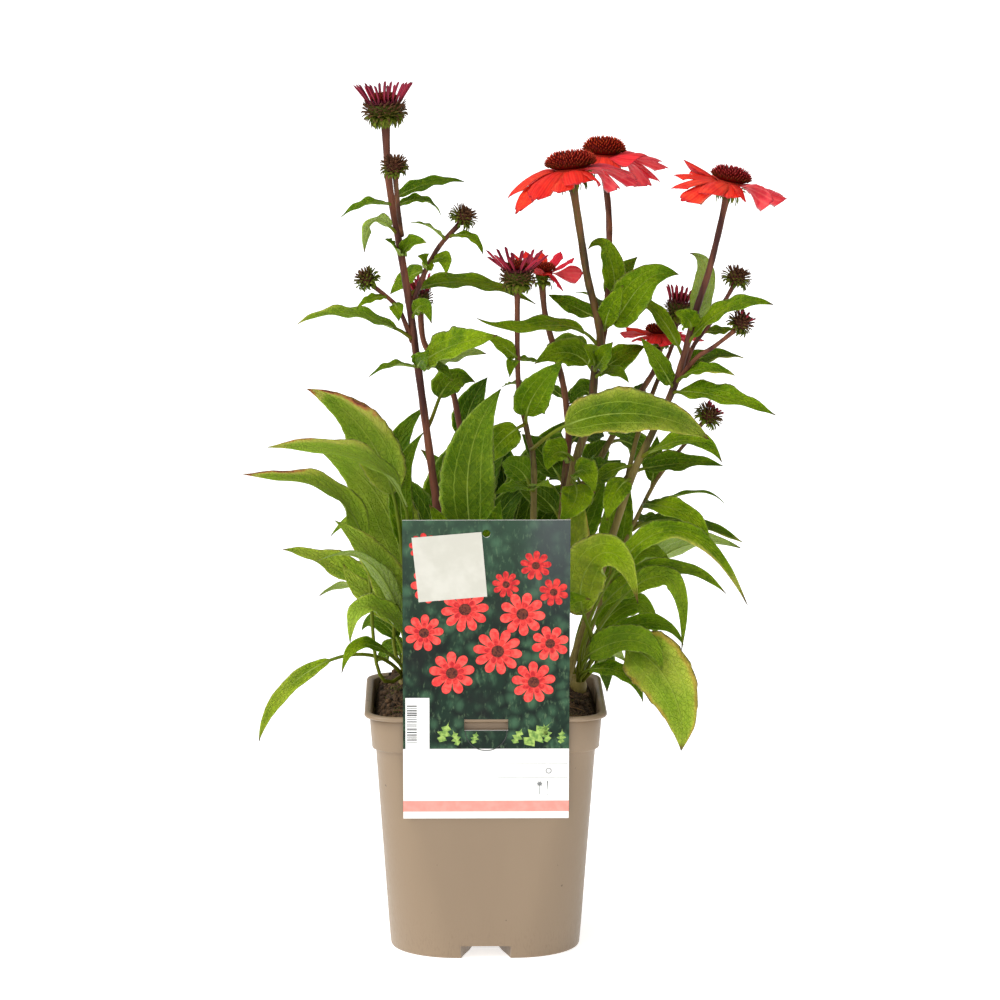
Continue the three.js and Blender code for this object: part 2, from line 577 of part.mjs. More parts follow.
    [0, 0, [[73, 22, 205], [98, 24, 227], [154, 24, 215]], 17, 36, 0.36],
    [0, 0, [[70, -22, 220], [102, -34, 264], [162, -38, 222]], 17, 44, 0.42],
    [0, 0, [[75, 46, 191], [100, 66, 223], [166, 84, 237]], 30, -46, 0.4],
    [0, 0, [[75, 56, 172], [80, 82, 140]], 18, 62, 0.3],
    [0, 0, [[78, 40, 176], [90, 56, 168]], 16, -60, 0.3],
    [0, 0, [[71, 40, 215], [100, 56, 239], [121, 66, 229]], 22, 50, 0.46],
  ],
  clump_back: [
    [0, 0, [[-34, 52, 232], [-46, 58, 272], [-72, 62, 287]], 24, 56, 0.42],
    [0, 0, [[-26, 54, 236], [-22, 60, 290], [-4, 64, 312]], 27, 62, 0.42],
    [0, 0, [[-16, 56, 230], [-22, 62, 276], [-40, 66, 300]], 26, 58, 0.42],
    [0, 0, [[-8, 56, 240], [4, 62, 296], [24, 66, 314]], 28, 60, 0.4],
    [0, 0, [[0, 58, 226], [10, 62, 262], [30, 66, 282]], 27, 60, 0.4],
    [0, 0, [[6, 56, 238], [10, 62, 298], [-4, 66, 318]], 26, 64, 0.42],
    [0, 0, [[16, 54, 236], [34, 60, 298], [54, 64, 322]], 27, 62, 0.42],
    [0, 0, [[22, 52, 228], [44, 58, 266], [74, 62, 280]], 26, 58, 0.4],
  ],
};

// Behind the stems, a low fan of leaves spreads under the tall ones.
const LOW_BACK_LEAVES = 7;
for (let i = 0; i < LOW_BACK_LEAVES; i += 1) {
  const turn = (20 + (140 * i) / (LOW_BACK_LEAVES - 1)) * (Math.PI / 180);
  const reach = 62 + 22 * draw(i, 1);
  const height = 205 + 45 * draw(i, 2);
  const [x, y] = CROWNS.clump_back;
  const middle = [x + reach * 0.4 * Math.cos(turn), y + reach * 0.4 * Math.sin(turn), height * 0.88];
  const tip = [x + reach * Math.cos(turn), y + reach * Math.sin(turn), height];
  LEAVES.clump_back.push([0, 0, [middle, tip], 17, -50, 0.25]);
}

// Width of a blade along its length, 1 at its widest.
const bladeShape = (u) => 2.74 * u ** 0.55 * (1 - u);

// A leaf as one thin solid. The clearance test grows it on every side.
function leafSolid(start, [, , passes, width, face, stalk], bend, grow = 0, from = 0) {
  const points = [start, ...passes.map((p) => vec(...p))];
  const midrib = curveThrough(points);
  const tilt = (face * Math.PI) / 180;
  const facing = vec(0, -Math.sin(tilt), Math.cos(tilt));
  const bent = (t) => midrib(t).add(vec(0, bend[0] * t, bend[1] * t));
  const shares = stalk > LONG_STALK ? [0, stalk / 2, stalk] : [0];
  let steps = [0.28, 0.66, 1];
  if (width >= BROAD_WIDTH) steps = [0.14, 0.42, 0.74, 1];
  for (const u of steps) shares.push(stalk + (1 - stalk) * u);
  const rings = shares.filter((t) => t >= from).map((t, i) => {
    const u = (t - stalk) / (1 - stalk);
    const blade = u > 0 ? (width / 2) * bladeShape(u) : 0;
    const half = Math.max(blade, u >= 1 ? 0.4 : PETIOLE_HALF);
    const wave = u > 0 && u < 1 ? (i % 2 ? 1 : -1) * LEAF_WAVE * blade : 0;
    return bladeRing({
      at: bent(t),
      along: bent(t + 0.01).sub(bent(t - 0.01)).normalize(),
      facing,
      half: half + grow,
      fold: width < FOLDED_WIDTH ? 0 : LEAF_FOLD,
      ripple: wave,
      thick: (u > 0 ? LEAF_THICK : 1.4) + 2 * grow,
    });
  });
  return loft(rings, { alike: true });
}

// ---------------------------------------------------------------- flower heads
const HEAD_CLEARANCE = 2.8; // for each radian between a head and its stem

// Points about a head's axis: a column round it, a radius and a height along it.
function headFrame(foot, axis) {
  const up = axis.clone().normalize();
  const [u, w] = across(up);
  return (angle, radius, height) => foot.clone()
    .addScaledVector(u, radius * Math.cos(angle))
    .addScaledVector(w, radius * Math.sin(angle))
    .addScaledVector(up, height);
}

// A burr: rows of points up an axis, closed at both ends. In a row with a tip, every other
// column is drawn out to that tip, so that the row bristles.
function burr(place, columns, rows) {
  const rings = rows.map(({ r, h, tip, odd = 0 }) => Array.from({ length: columns }, (_, k) => {
    const drawn = tip && (k + odd) % 2 === 0;
    const [radius, height] = drawn ? tip : [r, h];
    return place((k / columns) * 2 * Math.PI, radius, height);
  }));
  const first = rows[0];
  const last = rows[rows.length - 1];
  return loft(rings, { start: place(0, 0, first.h), end: place(0, 0, last.h) });
}

// The dome of florets: staggered spines in rows.
function coneRows(base, radius, height, rowCount) {
  const rows = [{ r: radius * 0.72, h: base }];
  for (let k = 0; k < rowCount; k += 1) {
    const rise = (0.12 + (0.8 * k) / (rowCount - 1)) * (Math.PI / 2);
    const r = radius * Math.cos(rise);
    const h = base + 1.5 + height * Math.sin(rise);
    const reach = 1.6 - (0.5 * k) / rowCount;
    rows.push({
      r, h, tip: [r + reach * Math.cos(rise), h + reach * (0.3 + Math.sin(rise))], odd: k % 2,
    });
  }
  return rows;
}

// The green cup under a bloom, with two layers of pointed bracts.
const BRACT_ROWS = (size) => [
  { r: 2.6, h: GAP },
  { r: 5.5 * size, h: 1.4, tip: [13 * size, -2.5], odd: 0 },
  { r: 7.6 * size, h: 3.2 },
  { r: 8.6 * size, h: 4.4, tip: [15 * size, 3.2], odd: 1 },
  { r: 9.6 * size, h: 6 },
];

// Open blooms: the radius and height of the cone, the way the head looks (sideways and to the
// back, for each millimetre up), and the rays one by one: where a ray points (in degrees, 0 to
// the right and 90 to the back), its length, width, rise, sag and turn about itself.
const BLOOMS = {
  bloom_centre: { stem: 'stem_centre', branch: 0, cone: [14.2, 8], looks: [-0.1, 0.02], rays: [
    [5, 30, 11, 0.15, 0.5, 0.3], [31, 29, 12, 0.25, 0.5, 0], [58, 30, 12, 0.25, 0.5, 0],
    [86, 29, 12, 0.25, 0.5, 0], [114, 30, 12, 0.25, 0.55, 0], [142, 30, 12, 0.2, 0.55, 0],
    [169, 30, 12, 0.18, 0.58, 0.1], [193, 32, 12, 0.2, 0.62, 0.1], [211, 33, 8.5, -0.02, 0.64, 0.1],
    [229, 30, 11, 0, 0.5, 0.1], [252, 21, 11.5, -0.12, 0.42, 0.1], [275, 21, 12.5, 0.08, 0.45, -0.05],
    [302, 21, 8.5, -0.08, 0.36, 0.5], [319, 27, 14, 0.05, 0.52, 1.0], [343, 34, 12, 0.12, 0.52, 0.6],
  ] },
  bloom_back: { stem: 'stem_centre', branch: 1, cone: [12, 8.2], looks: [0.04, 0], rays: [
    [12, 30, 10, 0.12, 0.22, 0.4], [45, 28, 12, 0.3, 0.4, 0], [78, 27, 12, 0.3, 0.4, 0],
    [110, 27, 12, 0.3, 0.4, 0], [142, 28, 12, 0.3, 0.45, 0], [174, 27, 12, 0.2, 0.45, 0.2],
    [205, 26, 12, 0.1, 0.45, 0.2], [237, 23, 12.5, 0.05, 0.42, 0.1], [273, 19, 13, -0.02, 0.28, -0.1],
    [309, 28, 15, 0.28, 0.2, -0.6], [328, 27, 13, -0.1, 0.5, 0.7], [343, 29, 7, 0, 0.5, 0.6],
    [356, 33, 8, 0.05, 0.24, 0.5],
  ] },
  bloom_right: { stem: 'stem_right', branch: 0, cone: [11.2, 6.6], looks: [0.22, 0.02], rays: [
    [8, 27, 12, 0.08, 0.12, 0.5], [40, 26, 12, 0.15, 0.25, 0], [72, 25, 12, 0.2, 0.25, 0],
    [102, 25, 12, 0.25, 0.25, 0], [131, 26, 11, 0.24, 0.2, 0], [157, 25, 7.5, 0.38, 0.1, -0.2],
    [176, 27, 11, 0.18, 0.28, 0.05], [197, 29, 12, -0.02, 0.36, 0.05], [218, 28, 12, -0.12, 0.44, 0.05],
    [240, 24, 12.5, -0.02, 0.36, 0.05], [268, 18, 10, -0.08, 0.35, 0], [290, 20, 8, -0.1, 0.3, 0.6],
    [323, 26, 13, 0, 0.14, 0.9], [346, 29, 11, 0.05, 0.1, 0.7],
  ] },
  bloom_small: { stem: 'stem_right_back', branch: 0, cone: [7.6, 3.6], looks: [-0.03, 0.02], rays: [
    [18, 19, 7, 0.1, 0.3, 0], [54, 18, 8, 0.2, 0.3, 0], [90, 18, 8, 0.2, 0.3, 0],
    [126, 18, 8, 0.25, 0.25, 0], [158, 17, 8, 0.4, 0.15, 0.4], [184, 20, 8, 0.2, 0.1, -0.5],
    [216, 17, 8, 0.1, 0.2, 0], [250, 15, 8, 0, 0.3, 0], [284, 15, 8, 0, 0.3, 0],
    [318, 19, 7, 0, 0.25, 0.3], [350, 23, 6, 0.05, 0.25, 0.3],
  ] },
  bloom_opening: { stem: 'stem_centre_back', branch: 0, cone: [7, 3], looks: [0.02, -0.02], rays: [
    [24, 17, 4, 0.6, 0.05, 0], [56, 16, 4, 0.75, 0.05, 0], [90, 15, 4, 0.8, 0.05, 0],
    [124, 14, 4, 0.85, 0.05, 0], [156, 15, 4, 0.8, 0.05, 0], [188, 16, 4, 0.65, 0.05, 0],
    [222, 14, 4, 0.55, 0.05, 0], [256, 12, 4, 0.5, 0.1, 0], [290, 11, 4.5, 0.3, 0.2, 0],
    [324, 11, 6.5, -0.2, 0.75, 0.3], [354, 20.5, 9, 0.1, 0.06, 1.0],
  ] },
};

// The rays of a bloom and the disc that they grow from, as one body: each ray goes on from its
// own stretch of the disc's rim. Flat ones start high and low in turn, and turned ones shingle.
const RAY_SHAPE = [[0.34, 0.8], [0.74, 1], [1, 0.5]]; // width along a ray
const RAY_LAYER = 0.45;
const RAY_TURN_END = 0.6; // how far along it a ray has turned
const RAY_SHINGLED = 0.3; // from this turn on a ray starts at the middle height

function rayWheel(place, rays, root, low, high) {
  const middle = (low + high) / 2;
  const points = [place(0, 0, low), place(0, 0, high)];
  const faces = [];
  const quad = (a, b, c, d, alike) => {
    if (alike) faces.push([a, b, d], [b, c, d]);
    else faces.push([a, b, c], [a, c, d]);
  };
  const spread = Math.PI / rays.length / 2.2;
  const up = place(0, 0, 1).sub(place(0, 0, 0));
  const rims = rays.map(([degrees, long, wide, rise, sag, turn], i) => {
    const angle = (degrees * Math.PI) / 180;
    const rim = [[-spread, high], [spread, high], [spread, low], [-spread, low]]
      .map(([aside, h]) => points.push(place(angle + aside, root, h)) - 1);
    const flat = Math.max(1 - Math.abs(turn) / RAY_SHINGLED, 0);
    const layer = (i % 2 ? RAY_LAYER : -RAY_LAYER) * flat;
    const path = (t) => place(
      angle, root + long * t, middle + layer * Math.min(t / 0.3, 1) + long * (rise * t - sag * t * t),
    );
    const out = place(angle, 1, 0).sub(place(angle, 0, 0));
    const aside = vec(0, 0, 0).crossVectors(up, out);
    let last = rim;
    for (const [t, share] of RAY_SHAPE) {
      const turned = turn * Math.min(t / RAY_TURN_END, 1);
      const ring = bladeRing({
        at: path(t),
        along: path(t + 0.01).sub(path(t - 0.01)).normalize(),
        facing: up.clone().multiplyScalar(Math.cos(turned)).addScaledVector(aside, Math.sin(turned)),
        half: (wide * share) / 2,
        fold: 0,
        ripple: 0,
        thick: LEAF_THICK,
      }).map((p) => points.push(p) - 1);
      const next = [ring[1], ring[0], ring[3], ring[2]];
      for (let k = 0; k < 4; k += 1) quad(last[(k + 1) % 4], last[k], next[k], next[(k + 1) % 4], k === 2);
      last = next;
    }
    faces.push([last[3], last[2], last[1]], [last[3], last[1], last[0]]);
    return rim;
  });
  rims.forEach((rim, i) => {
    const after = rims[(i + 1) % rims.length];
    quad(rim[2], after[3], after[0], rim[1], false);
    faces.push([1, rim[0], rim[1]], [1, rim[1], after[0]], [0, rim[2], rim[3]], [0, after[3], rim[2]]);
  });
  return toSolid(points, faces);
}

function makeBloom(spec, place) {
  const size = spec.cone[0] / 15;
  const bracts = BRACT_ROWS(size);
  const cupTop = bracts[bracts.length - 1].h;
  const root = spec.cone[0] * 0.72;
  const discTop = cupTop + GAP + 1.8;
  const coneBase = discTop + GAP;
  const columns = spec.cone[0] > 10 ? 18 : 12;
  const rowCount = spec.cone[0] > 10 ? 6 : 3;
  return {
    bracts: burr(place, 16, bracts),
    rays: rayWheel(place, spec.rays, root, cupTop + GAP, discTop),
    cone: burr(place, columns, coneRows(coneBase, spec.cone[0], spec.cone[1], rowCount)),
  };
}

// Young heads: a bristling cup, and a crown of narrow rays that still stand up.
const YOUNG = {
  young_top: { stem: 'stem_tall_left', branch: 0, size: 1, rays: 20, spread: 17, tall: 13 },
  young_left: { stem: 'stem_young_left', branch: 0, size: 0.62, rays: 14, spread: 15, tall: 12 },
  young_front: { stem: 'stem_front', branch: 0, size: 0.78, rays: 16, spread: 20, tall: 15 },
  young_right: { stem: 'stem_right', branch: 3, size: 0.66, rays: 14, spread: 10.5, tall: 12 },
};

function makeYoung({ size, rays, spread, tall }, place) {
  const cup = [
    { r: 2.4, h: GAP },
    { r: 6.6 * size, h: 1.8, tip: [10 * size, -3.5], odd: 0 },
    { r: 9.6 * size, h: 4.2, tip: [14 * size, 2.4], odd: 1 },
    { r: 11 * size, h: 7.4, tip: [14.8 * size, 7.2], odd: 0 },
    { r: 10.6 * size, h: 9.6 },
  ];
  const base = 9.6 + GAP;
  const crown = [
    { r: 10.2 * size, h: base },
    { r: 11.2 * size, h: base + 1.4, tip: [spread, base + tall] },
    { r: 9.2 * size, h: base + 1.5 },
  ];
  const domeBase = base + 1.4 + GAP;
  return {
    cup: burr(place, 16, cup),
    rays: burr(place, rays * 2, crown),
    cone: burr(place, 10, coneRows(domeBase, 7.6 * size, 3.5, 2)),
  };
}

// Buds: closed balls of pointed bracts.
const BUDS = {
  bud_top: { stem: 'stem_tall_left', branch: 1, size: 1, upright: 0 },
  bud_branch: { stem: 'stem_tall_left', branch: 2, size: 1, upright: 0.4 },
  bud_left: { stem: 'stem_tall_left', branch: 3, size: 0.9, upright: 0.3 },
  bud_right_upper: { stem: 'stem_right', branch: 1, size: 1.05, upright: 0.4 },
  bud_right_lower: { stem: 'stem_right', branch: 2, size: 0.95, upright: 0.4 },
  bud_low: { stem: 'stem_low_right', branch: 0, size: 1.05, upright: 0 },
};

function makeBud({ size }, place) {
  return burr(place, 14, [
    { r: 1.5, h: GAP },
    { r: 3.4 * size, h: 1.4, tip: [8.2 * size, -0.8], odd: 0 },
    { r: 4.8 * size, h: 3.4, tip: [9 * size, 2.6], odd: 1 },
    { r: 5.2 * size, h: 5.6, tip: [8.8 * size, 6.4], odd: 0 },
    { r: 4.2 * size, h: 8, tip: [6.8 * size, 10.2], odd: 1 },
    { r: 2.4 * size, h: 9.4, tip: [3.8 * size, 12], odd: 0 },
  ]);
}

// ---------------------------------------------------------------- assembly
const COLOURS = {
  pot: 0xa78f77, soil: 0x2b2019, card: 0xe9e7e0, leaf: 0x6c9a2c,
  ray: 0xe0402a, cone: 0x6e1d14, bract: 0x7a8a3a, young: 0x9c2740, bud: 0x6d4d3d,
};

const placed = []; // { name, solid, box, blade } of everything that a leaf has to clear
const nodes = new Map(); // name -> { parts, colour }

function keep(name, solid, colour, blade = false) {
  if (!nodes.has(name)) nodes.set(name, { parts: [], colour });
  nodes.get(name).parts.push(solid);
  placed.push({ name, solid, box: solid.boundingBox(), blade });
}

function meets(solid, name, own) {
  const box = solid.boundingBox();
  return placed.some((other) => {
    if ((other.name === name) !== own || (own && !other.blade)) return false;
    for (let k = 0; k < 3; k += 1) {
      if (box.min[k] > other.box.max[k] || box.max[k] < other.box.min[k]) return false;
    }
    return solid.intersect(other.solid).volume() > 1e-6;
  });
}

// The bends tried in turn, towards the back and up, until a leaf is clear of the others.
const BENDS = [];
for (const rise of [0, 5, -5, 10]) {
  for (const push of [0, 4, -4, 8, -8, 12, -12, 17, -17, 22, -22, 28, -28]) BENDS.push([push, rise]);
}

const roots = [];
const trunks = {};
keep('pot', makePot(), COLOURS.pot);
keep('label_card', makeCard(), COLOURS.card);
for (const [name, { path, radii, branches }] of Object.entries(STEMS)) {
  trunks[name] = [stemPoints(path), ...branches.map((b) => b.path.map((p) => vec(...p)))];
  keep(name, barAlong(trunks[name][0], radii), COLOURS.leaf);
  branches.forEach((b, i) => keep(name, barAlong(trunks[name][i + 1], b.radii), COLOURS.leaf));
  roots.push({ x: path[0][0], y: path[0][1], radius: radii[0], sides: STEM_SIDES });
}
for (const [name, [x, y]] of Object.entries(CROWNS)) {
  const ground = soilTop(x, y);
  const stub = [-ROOT_DEPTH, CROWN_HEIGHT * 0.3, CROWN_HEIGHT].map((h) => vec(x, y, ground + h));
  const radii = [CROWN_RADIUS - 1, CROWN_RADIUS, CROWN_RADIUS * 0.6];
  keep(name, bar(stub, radii, CROWN_SIDES), COLOURS.leaf);
  roots.push({ x, y, radius: CROWN_RADIUS, sides: CROWN_SIDES });
}
keep('soil', makeSoil(roots), COLOURS.soil);

// Where a head stands on its stem, and the way it looks: as given, or along the stem and turned
// towards upright. The more it turns from the stem, the further it stands off the stem's end.
function headPlace({ stem, branch, upright = 0, looks }) {
  const points = trunks[stem][branch];
  const top = points[points.length - 1];
  const along = top.clone().sub(points[points.length - 2]).normalize();
  const axis = looks ? vec(looks[0], looks[1], 1) : along.clone().addScaledVector(UP, upright);
  axis.normalize();
  return headFrame(top.clone().addScaledVector(axis, HEAD_CLEARANCE * axis.distanceTo(along)), axis);
}

for (const [name, spec] of Object.entries(BLOOMS)) {
  const { bracts, rays, cone } = makeBloom(spec, headPlace(spec));
  keep(`${name}_bracts`, bracts, COLOURS.bract);
  keep(`${name}_rays`, rays, COLOURS.ray);
  keep(`${name}_cone`, cone, COLOURS.cone);
}
for (const [name, spec] of Object.entries(YOUNG)) {
  const { cup, rays, cone } = makeYoung(spec, headPlace(spec));
  keep(`${name}_bracts`, cup, COLOURS.bract);
  keep(`${name}_rays`, rays, COLOURS.young);
  keep(`${name}_cone`, cone, COLOURS.cone);
}
for (const [name, spec] of Object.entries(BUDS)) keep(name, makeBud(spec, headPlace(spec)), COLOURS.bud);

// Where the leaves of a crown start round it: evenly spread, in the order of their directions.
function crownTurns(name) {
  const [x, y] = CROWNS[name];
  const aims = LEAVES[name].map(([, , [first]]) => [first[0] - x, first[1] - y]);
  const main = Math.atan2(aims.reduce((sum, a) => sum + a[1], 0), aims.reduce((sum, a) => sum + a[0], 0));
  const off = aims.map(([dx, dy]) => {
    const turn = Math.atan2(dy, dx) - main;
    return Math.atan2(Math.sin(turn), Math.cos(turn));
  });
  const order = off.map((_, i) => i).sort((a, b) => off[a] - off[b]);
  return off.map((_, i) => main + ((order.indexOf(i) + 0.5) / off.length - 0.5) * CROWN_SPREAD);
}

for (const [name, rows] of Object.entries(LEAVES)) {
  for (const row of rows) {
    const [branch, height, passes] = row;
    let start;
    if (name in CROWNS) {
      const [x, y] = CROWNS[name];
      const turn = crownTurns(name)[rows.indexOf(row)];
      start = vec(x, y, soilTop(x, y) + CROWN_HEIGHT * 0.6)
        .add(vec(Math.cos(turn), Math.sin(turn), 0).multiplyScalar(CROWN_START));
    } else {
      const axis = onStem(trunks[name][branch], height);
      start = axis.clone().addScaledVector(vec(...passes[0]).sub(axis).normalize(), LEAF_START);
    }
    const clearOfAll = (bend) => !meets(leafSolid(start, row, bend, 0.3), name, false)
      && !meets(leafSolid(start, row, bend, 0.2, row[5]), name, true);
    const clearOfOthers = (bend) => !meets(leafSolid(start, row, bend, 0.3), name, false);
    const bend = BENDS.find(clearOfAll) ?? BENDS.find(clearOfOthers);
    if (!bend) console.error('no clear place for a leaf of', name, JSON.stringify(row));
    else keep(name, leafSolid(start, row, bend), COLOURS.leaf, true);
  }
}

// One closed body for each node: its pieces joined, without loose scraps or slivers.
function joined(parts) {
  const whole = parts.length > 1 ? wasm.Manifold.union(parts) : parts[0];
  const bodies = whole.decompose().sort((a, b) => b.volume() - a.volume());
  return bodies[0].asOriginal().simplify(SCRAP);
}

function toGeometry(solid) {
  const { vertProperties, triVerts } = solid.getMesh();
  const geometry = new THREE.BufferGeometry();
  geometry.setAttribute('position', new THREE.BufferAttribute(new Float32Array(vertProperties), 3));
  geometry.setIndex(new THREE.BufferAttribute(new Uint32Array(triVerts), 1));
  geometry.computeVertexNormals();
  return geometry;
}

const plant = new THREE.Group();
for (const [name, { parts, colour }] of nodes) {
  const material = new THREE.MeshStandardMaterial({ color: colour, roughness: 0.7, metalness: 0 });
  const mesh = new THREE.Mesh(toGeometry(joined(parts)), material);
  mesh.name = name;
  plant.add(mesh);
}

// The origin stands under the middle of the whole, on the surface.
const box = new THREE.Box3().setFromObject(plant);
const middle = box.getCenter(vec(0, 0, 0));
plant.position.set(-middle.x, -middle.y, -box.min.z);
plant.updateMatrixWorld(true);

export default plant;
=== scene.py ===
# A coneflower in bloom with its square nursery pot, its soil and its hanging label.
# Places and sizes are in millimetres from the pot's axis at the floor. The front faces -Y.
import math
import random

import bpy
from mathutils import Matrix, Vector, kdtree, noise


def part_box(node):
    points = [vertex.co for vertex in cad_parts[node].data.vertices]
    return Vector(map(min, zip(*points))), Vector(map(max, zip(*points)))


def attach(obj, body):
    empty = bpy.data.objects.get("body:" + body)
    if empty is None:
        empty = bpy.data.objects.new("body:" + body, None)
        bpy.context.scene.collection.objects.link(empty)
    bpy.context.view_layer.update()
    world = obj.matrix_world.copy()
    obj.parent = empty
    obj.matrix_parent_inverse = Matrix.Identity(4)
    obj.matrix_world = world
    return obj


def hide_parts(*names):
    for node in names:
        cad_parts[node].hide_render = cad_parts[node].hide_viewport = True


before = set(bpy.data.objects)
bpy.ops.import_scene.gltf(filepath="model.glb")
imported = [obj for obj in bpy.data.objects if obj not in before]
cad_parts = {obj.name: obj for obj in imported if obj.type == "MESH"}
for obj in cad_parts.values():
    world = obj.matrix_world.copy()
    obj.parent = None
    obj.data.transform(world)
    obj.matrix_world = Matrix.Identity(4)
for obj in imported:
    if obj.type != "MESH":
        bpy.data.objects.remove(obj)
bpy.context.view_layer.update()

# ---------------------------------------------------------------- camera
# A long lens three metres off, a little above the flowers, looking slightly down at the plant.
pot_low, pot_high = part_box("pot")
POT_AXIS = Vector(((pot_low.x + pot_high.x) / 2, (pot_low.y + pot_high.y) / 2, 0))
MILLIMETRE = 0.001
LENS = 172.8
SENSOR_WIDTH = 36
CAMERA_DISTANCE = 3000
CAMERA_PITCH = math.radians(8.84)
CAMERA_TURN = math.radians(-0.83)
CAMERA_AIM = Vector((9.6, 0, 279.3))


def to_frame(place):
    """A place in millimetres about the pot's axis, in metres of the shared frame."""
    return POT_AXIS + Vector(place) * MILLIMETRE


backwards = Vector((
    math.sin(CAMERA_TURN) * math.cos(CAMERA_PITCH),
    -math.cos(CAMERA_TURN) * math.cos(CAMERA_PITCH),
    math.sin(CAMERA_PITCH),
))
camera_data = bpy.data.cameras.new("camera")
camera_data.lens = LENS
camera_data.sensor_width = SENSOR_WIDTH
camera_data.clip_end = 100
camera = bpy.data.objects.new("camera", camera_data)
camera.location = to_frame(CAMERA_AIM + backwards * CAMERA_DISTANCE)
camera.rotation_mode = "QUATERNION"
camera.rotation_quaternion = (-backwards).to_track_quat("-Z", "Y")
bpy.context.scene.collection.objects.link(camera)
bpy.context.scene.camera = camera

# ---------------------------------------------------------------- studio
# A wide white floor lit from below and even white light all round, with a broad soft light from
# high at the left and a weaker one from the front. Colours are shown without a film curve.
FLOOR_HALF = 30000
FLOOR_DROP = 0.05  # just under the foot of the pot
FLOOR_GLOW = 0.7
SURROUND_LIGHT = 0.42
LAMPS = {  # where the light comes from, its strength, and how broad its source looks, in degrees
    "left_lamp": ((-2.0, -0.8, 1.8), 2.5, 45),
    "front_lamp": ((-0.2, -2.0, 0.6), 0.75, 60),
}


def colour(red, green, blue):
    """A colour by its values on a display, 0 to 255, as the shaders take it."""
    shares = [channel / 255 for channel in (red, green, blue)]
    return tuple(s / 12.92 if s <= 0.04045 else ((s + 0.055) / 1.055) ** 2.4 for s in shares) + (1,)


class Form:
    """The points and faces of one piece, with the marks that its materials read at each point."""

    def __init__(self, *marks):
        self.points = []
        self.faces = []
        self.coats = []
        self.marks = {mark: [] for mark in marks}

    def point(self, place, **marks):
        """Adds a point and gives its number."""
        self.points.append(to_frame(place))
        for mark, values in self.marks.items():
            values.append(marks.get(mark, 0))
        return len(self.points) - 1

    def face(self, *corners, coat=0):
        """Adds a face. Its coat is the number of one of the piece's materials."""
        self.faces.append(corners)
        self.coats.append(coat)

    def make(self, name, *materials):
        """The finished piece, smooth all over."""
        mesh = bpy.data.meshes.new(name)
        mesh.from_pydata(self.points, [], self.faces)
        mesh.polygons.foreach_set("material_index", self.coats)
        mesh.shade_smooth()
        for mark, values in self.marks.items():
            mesh.attributes.new(mark, "FLOAT", "POINT").data.foreach_set("value", values)
        for material in materials:
            mesh.materials.append(material)
        piece = bpy.data.objects.new(name, mesh)
        bpy.context.scene.collection.objects.link(piece)
        return piece


def put(tree, kind, inputs=None, **settings):
    """A new node in a tree. Each input takes a value, or the output that it is joined to."""
    made = tree.nodes.new(kind)
    for name, value in settings.items():
        setattr(made, name, value)
    for key, value in (inputs or {}).items():
        socket = made.inputs[key]
        if isinstance(value, bpy.types.NodeSocket):
            tree.links.new(value, socket)
        else:
            socket.default_value = value
    return made


def sum_of(tree, operation, *values):
    """The output of a math node."""
    return put(tree, "ShaderNodeMath", dict(enumerate(values)), operation=operation).outputs[0]


def blend(tree, share, first, second):
    """Two colours mixed by a share, from 0 to 1."""
    return put(tree, "ShaderNodeMix", {0: share, 6: first, 7: second}, data_type="RGBA").outputs[2]


def finish_of(name, **plain):
    """A new material and its tree. Each plain value goes on the shader's own socket."""
    material = bpy.data.materials.new(name)
    material.use_nodes = True
    shader = material.node_tree.nodes["Principled BSDF"]
    for socket, value in plain.items():
        shader.inputs[socket.replace("_", " ").title().replace("Ior", "IOR")].default_value = value
    return material, material.node_tree, shader


def group_of(name, inputs, outputs):
    """A new node group, its tree, and the nodes that hold its inputs and take its outputs."""
    tree = bpy.data.node_groups.new(name, "ShaderNodeTree")
    for socket, value in inputs.items():
        made = tree.interface.new_socket(socket, in_out="INPUT", socket_type="NodeSocketFloat")
        made.default_value = value
    for socket in outputs:
        tree.interface.new_socket(socket, in_out="OUTPUT", socket_type="NodeSocketFloat")
    return tree, tree.nodes.new("NodeGroupInput"), tree.nodes.new("NodeGroupOutput")


# Mottling: soft uneven patches with a finer grain in them, as on leaves, plastic and soil.
mottling, given, taken = group_of(
    "mottling", {"Patch size": 10.0, "Grain size": 1.0, "Stretch": 1.0}, ("Patches", "Grain"),
)
place_on = put(mottling, "ShaderNodeTexCoord").outputs["Object"]
slender = put(mottling, "ShaderNodeCombineXYZ", {
    0: 1.0, 1: 1.0, 2: sum_of(mottling, "DIVIDE", 1.0, given.outputs["Stretch"]),
}).outputs[0]
along_grain = put(mottling, "ShaderNodeVectorMath", {0: place_on, 1: slender}, operation="MULTIPLY")
for result, size in (("Patches", "Patch size"), ("Grain", "Grain size")):
    scale = sum_of(mottling, "DIVIDE", 1 / MILLIMETRE, given.outputs[size])
    spots = put(mottling, "ShaderNodeTexNoise", {
        "Vector": along_grain.outputs[0], "Scale": scale, "Detail": 3.0, "Roughness": 0.55,
    })
    mottling.links.new(spots.outputs["Fac"], taken.inputs[result])


def mottled(tree, patch, grain, stretch=1.0):
    """Patches and grain from the mottling group, sizes in millimetres."""
    made = put(tree, "ShaderNodeGroup", node_tree=mottling)
    for socket, value in (("Patch size", patch), ("Grain size", grain), ("Stretch", stretch)):
        made.inputs[socket].default_value = value
    return made.outputs["Patches"], made.outputs["Grain"]


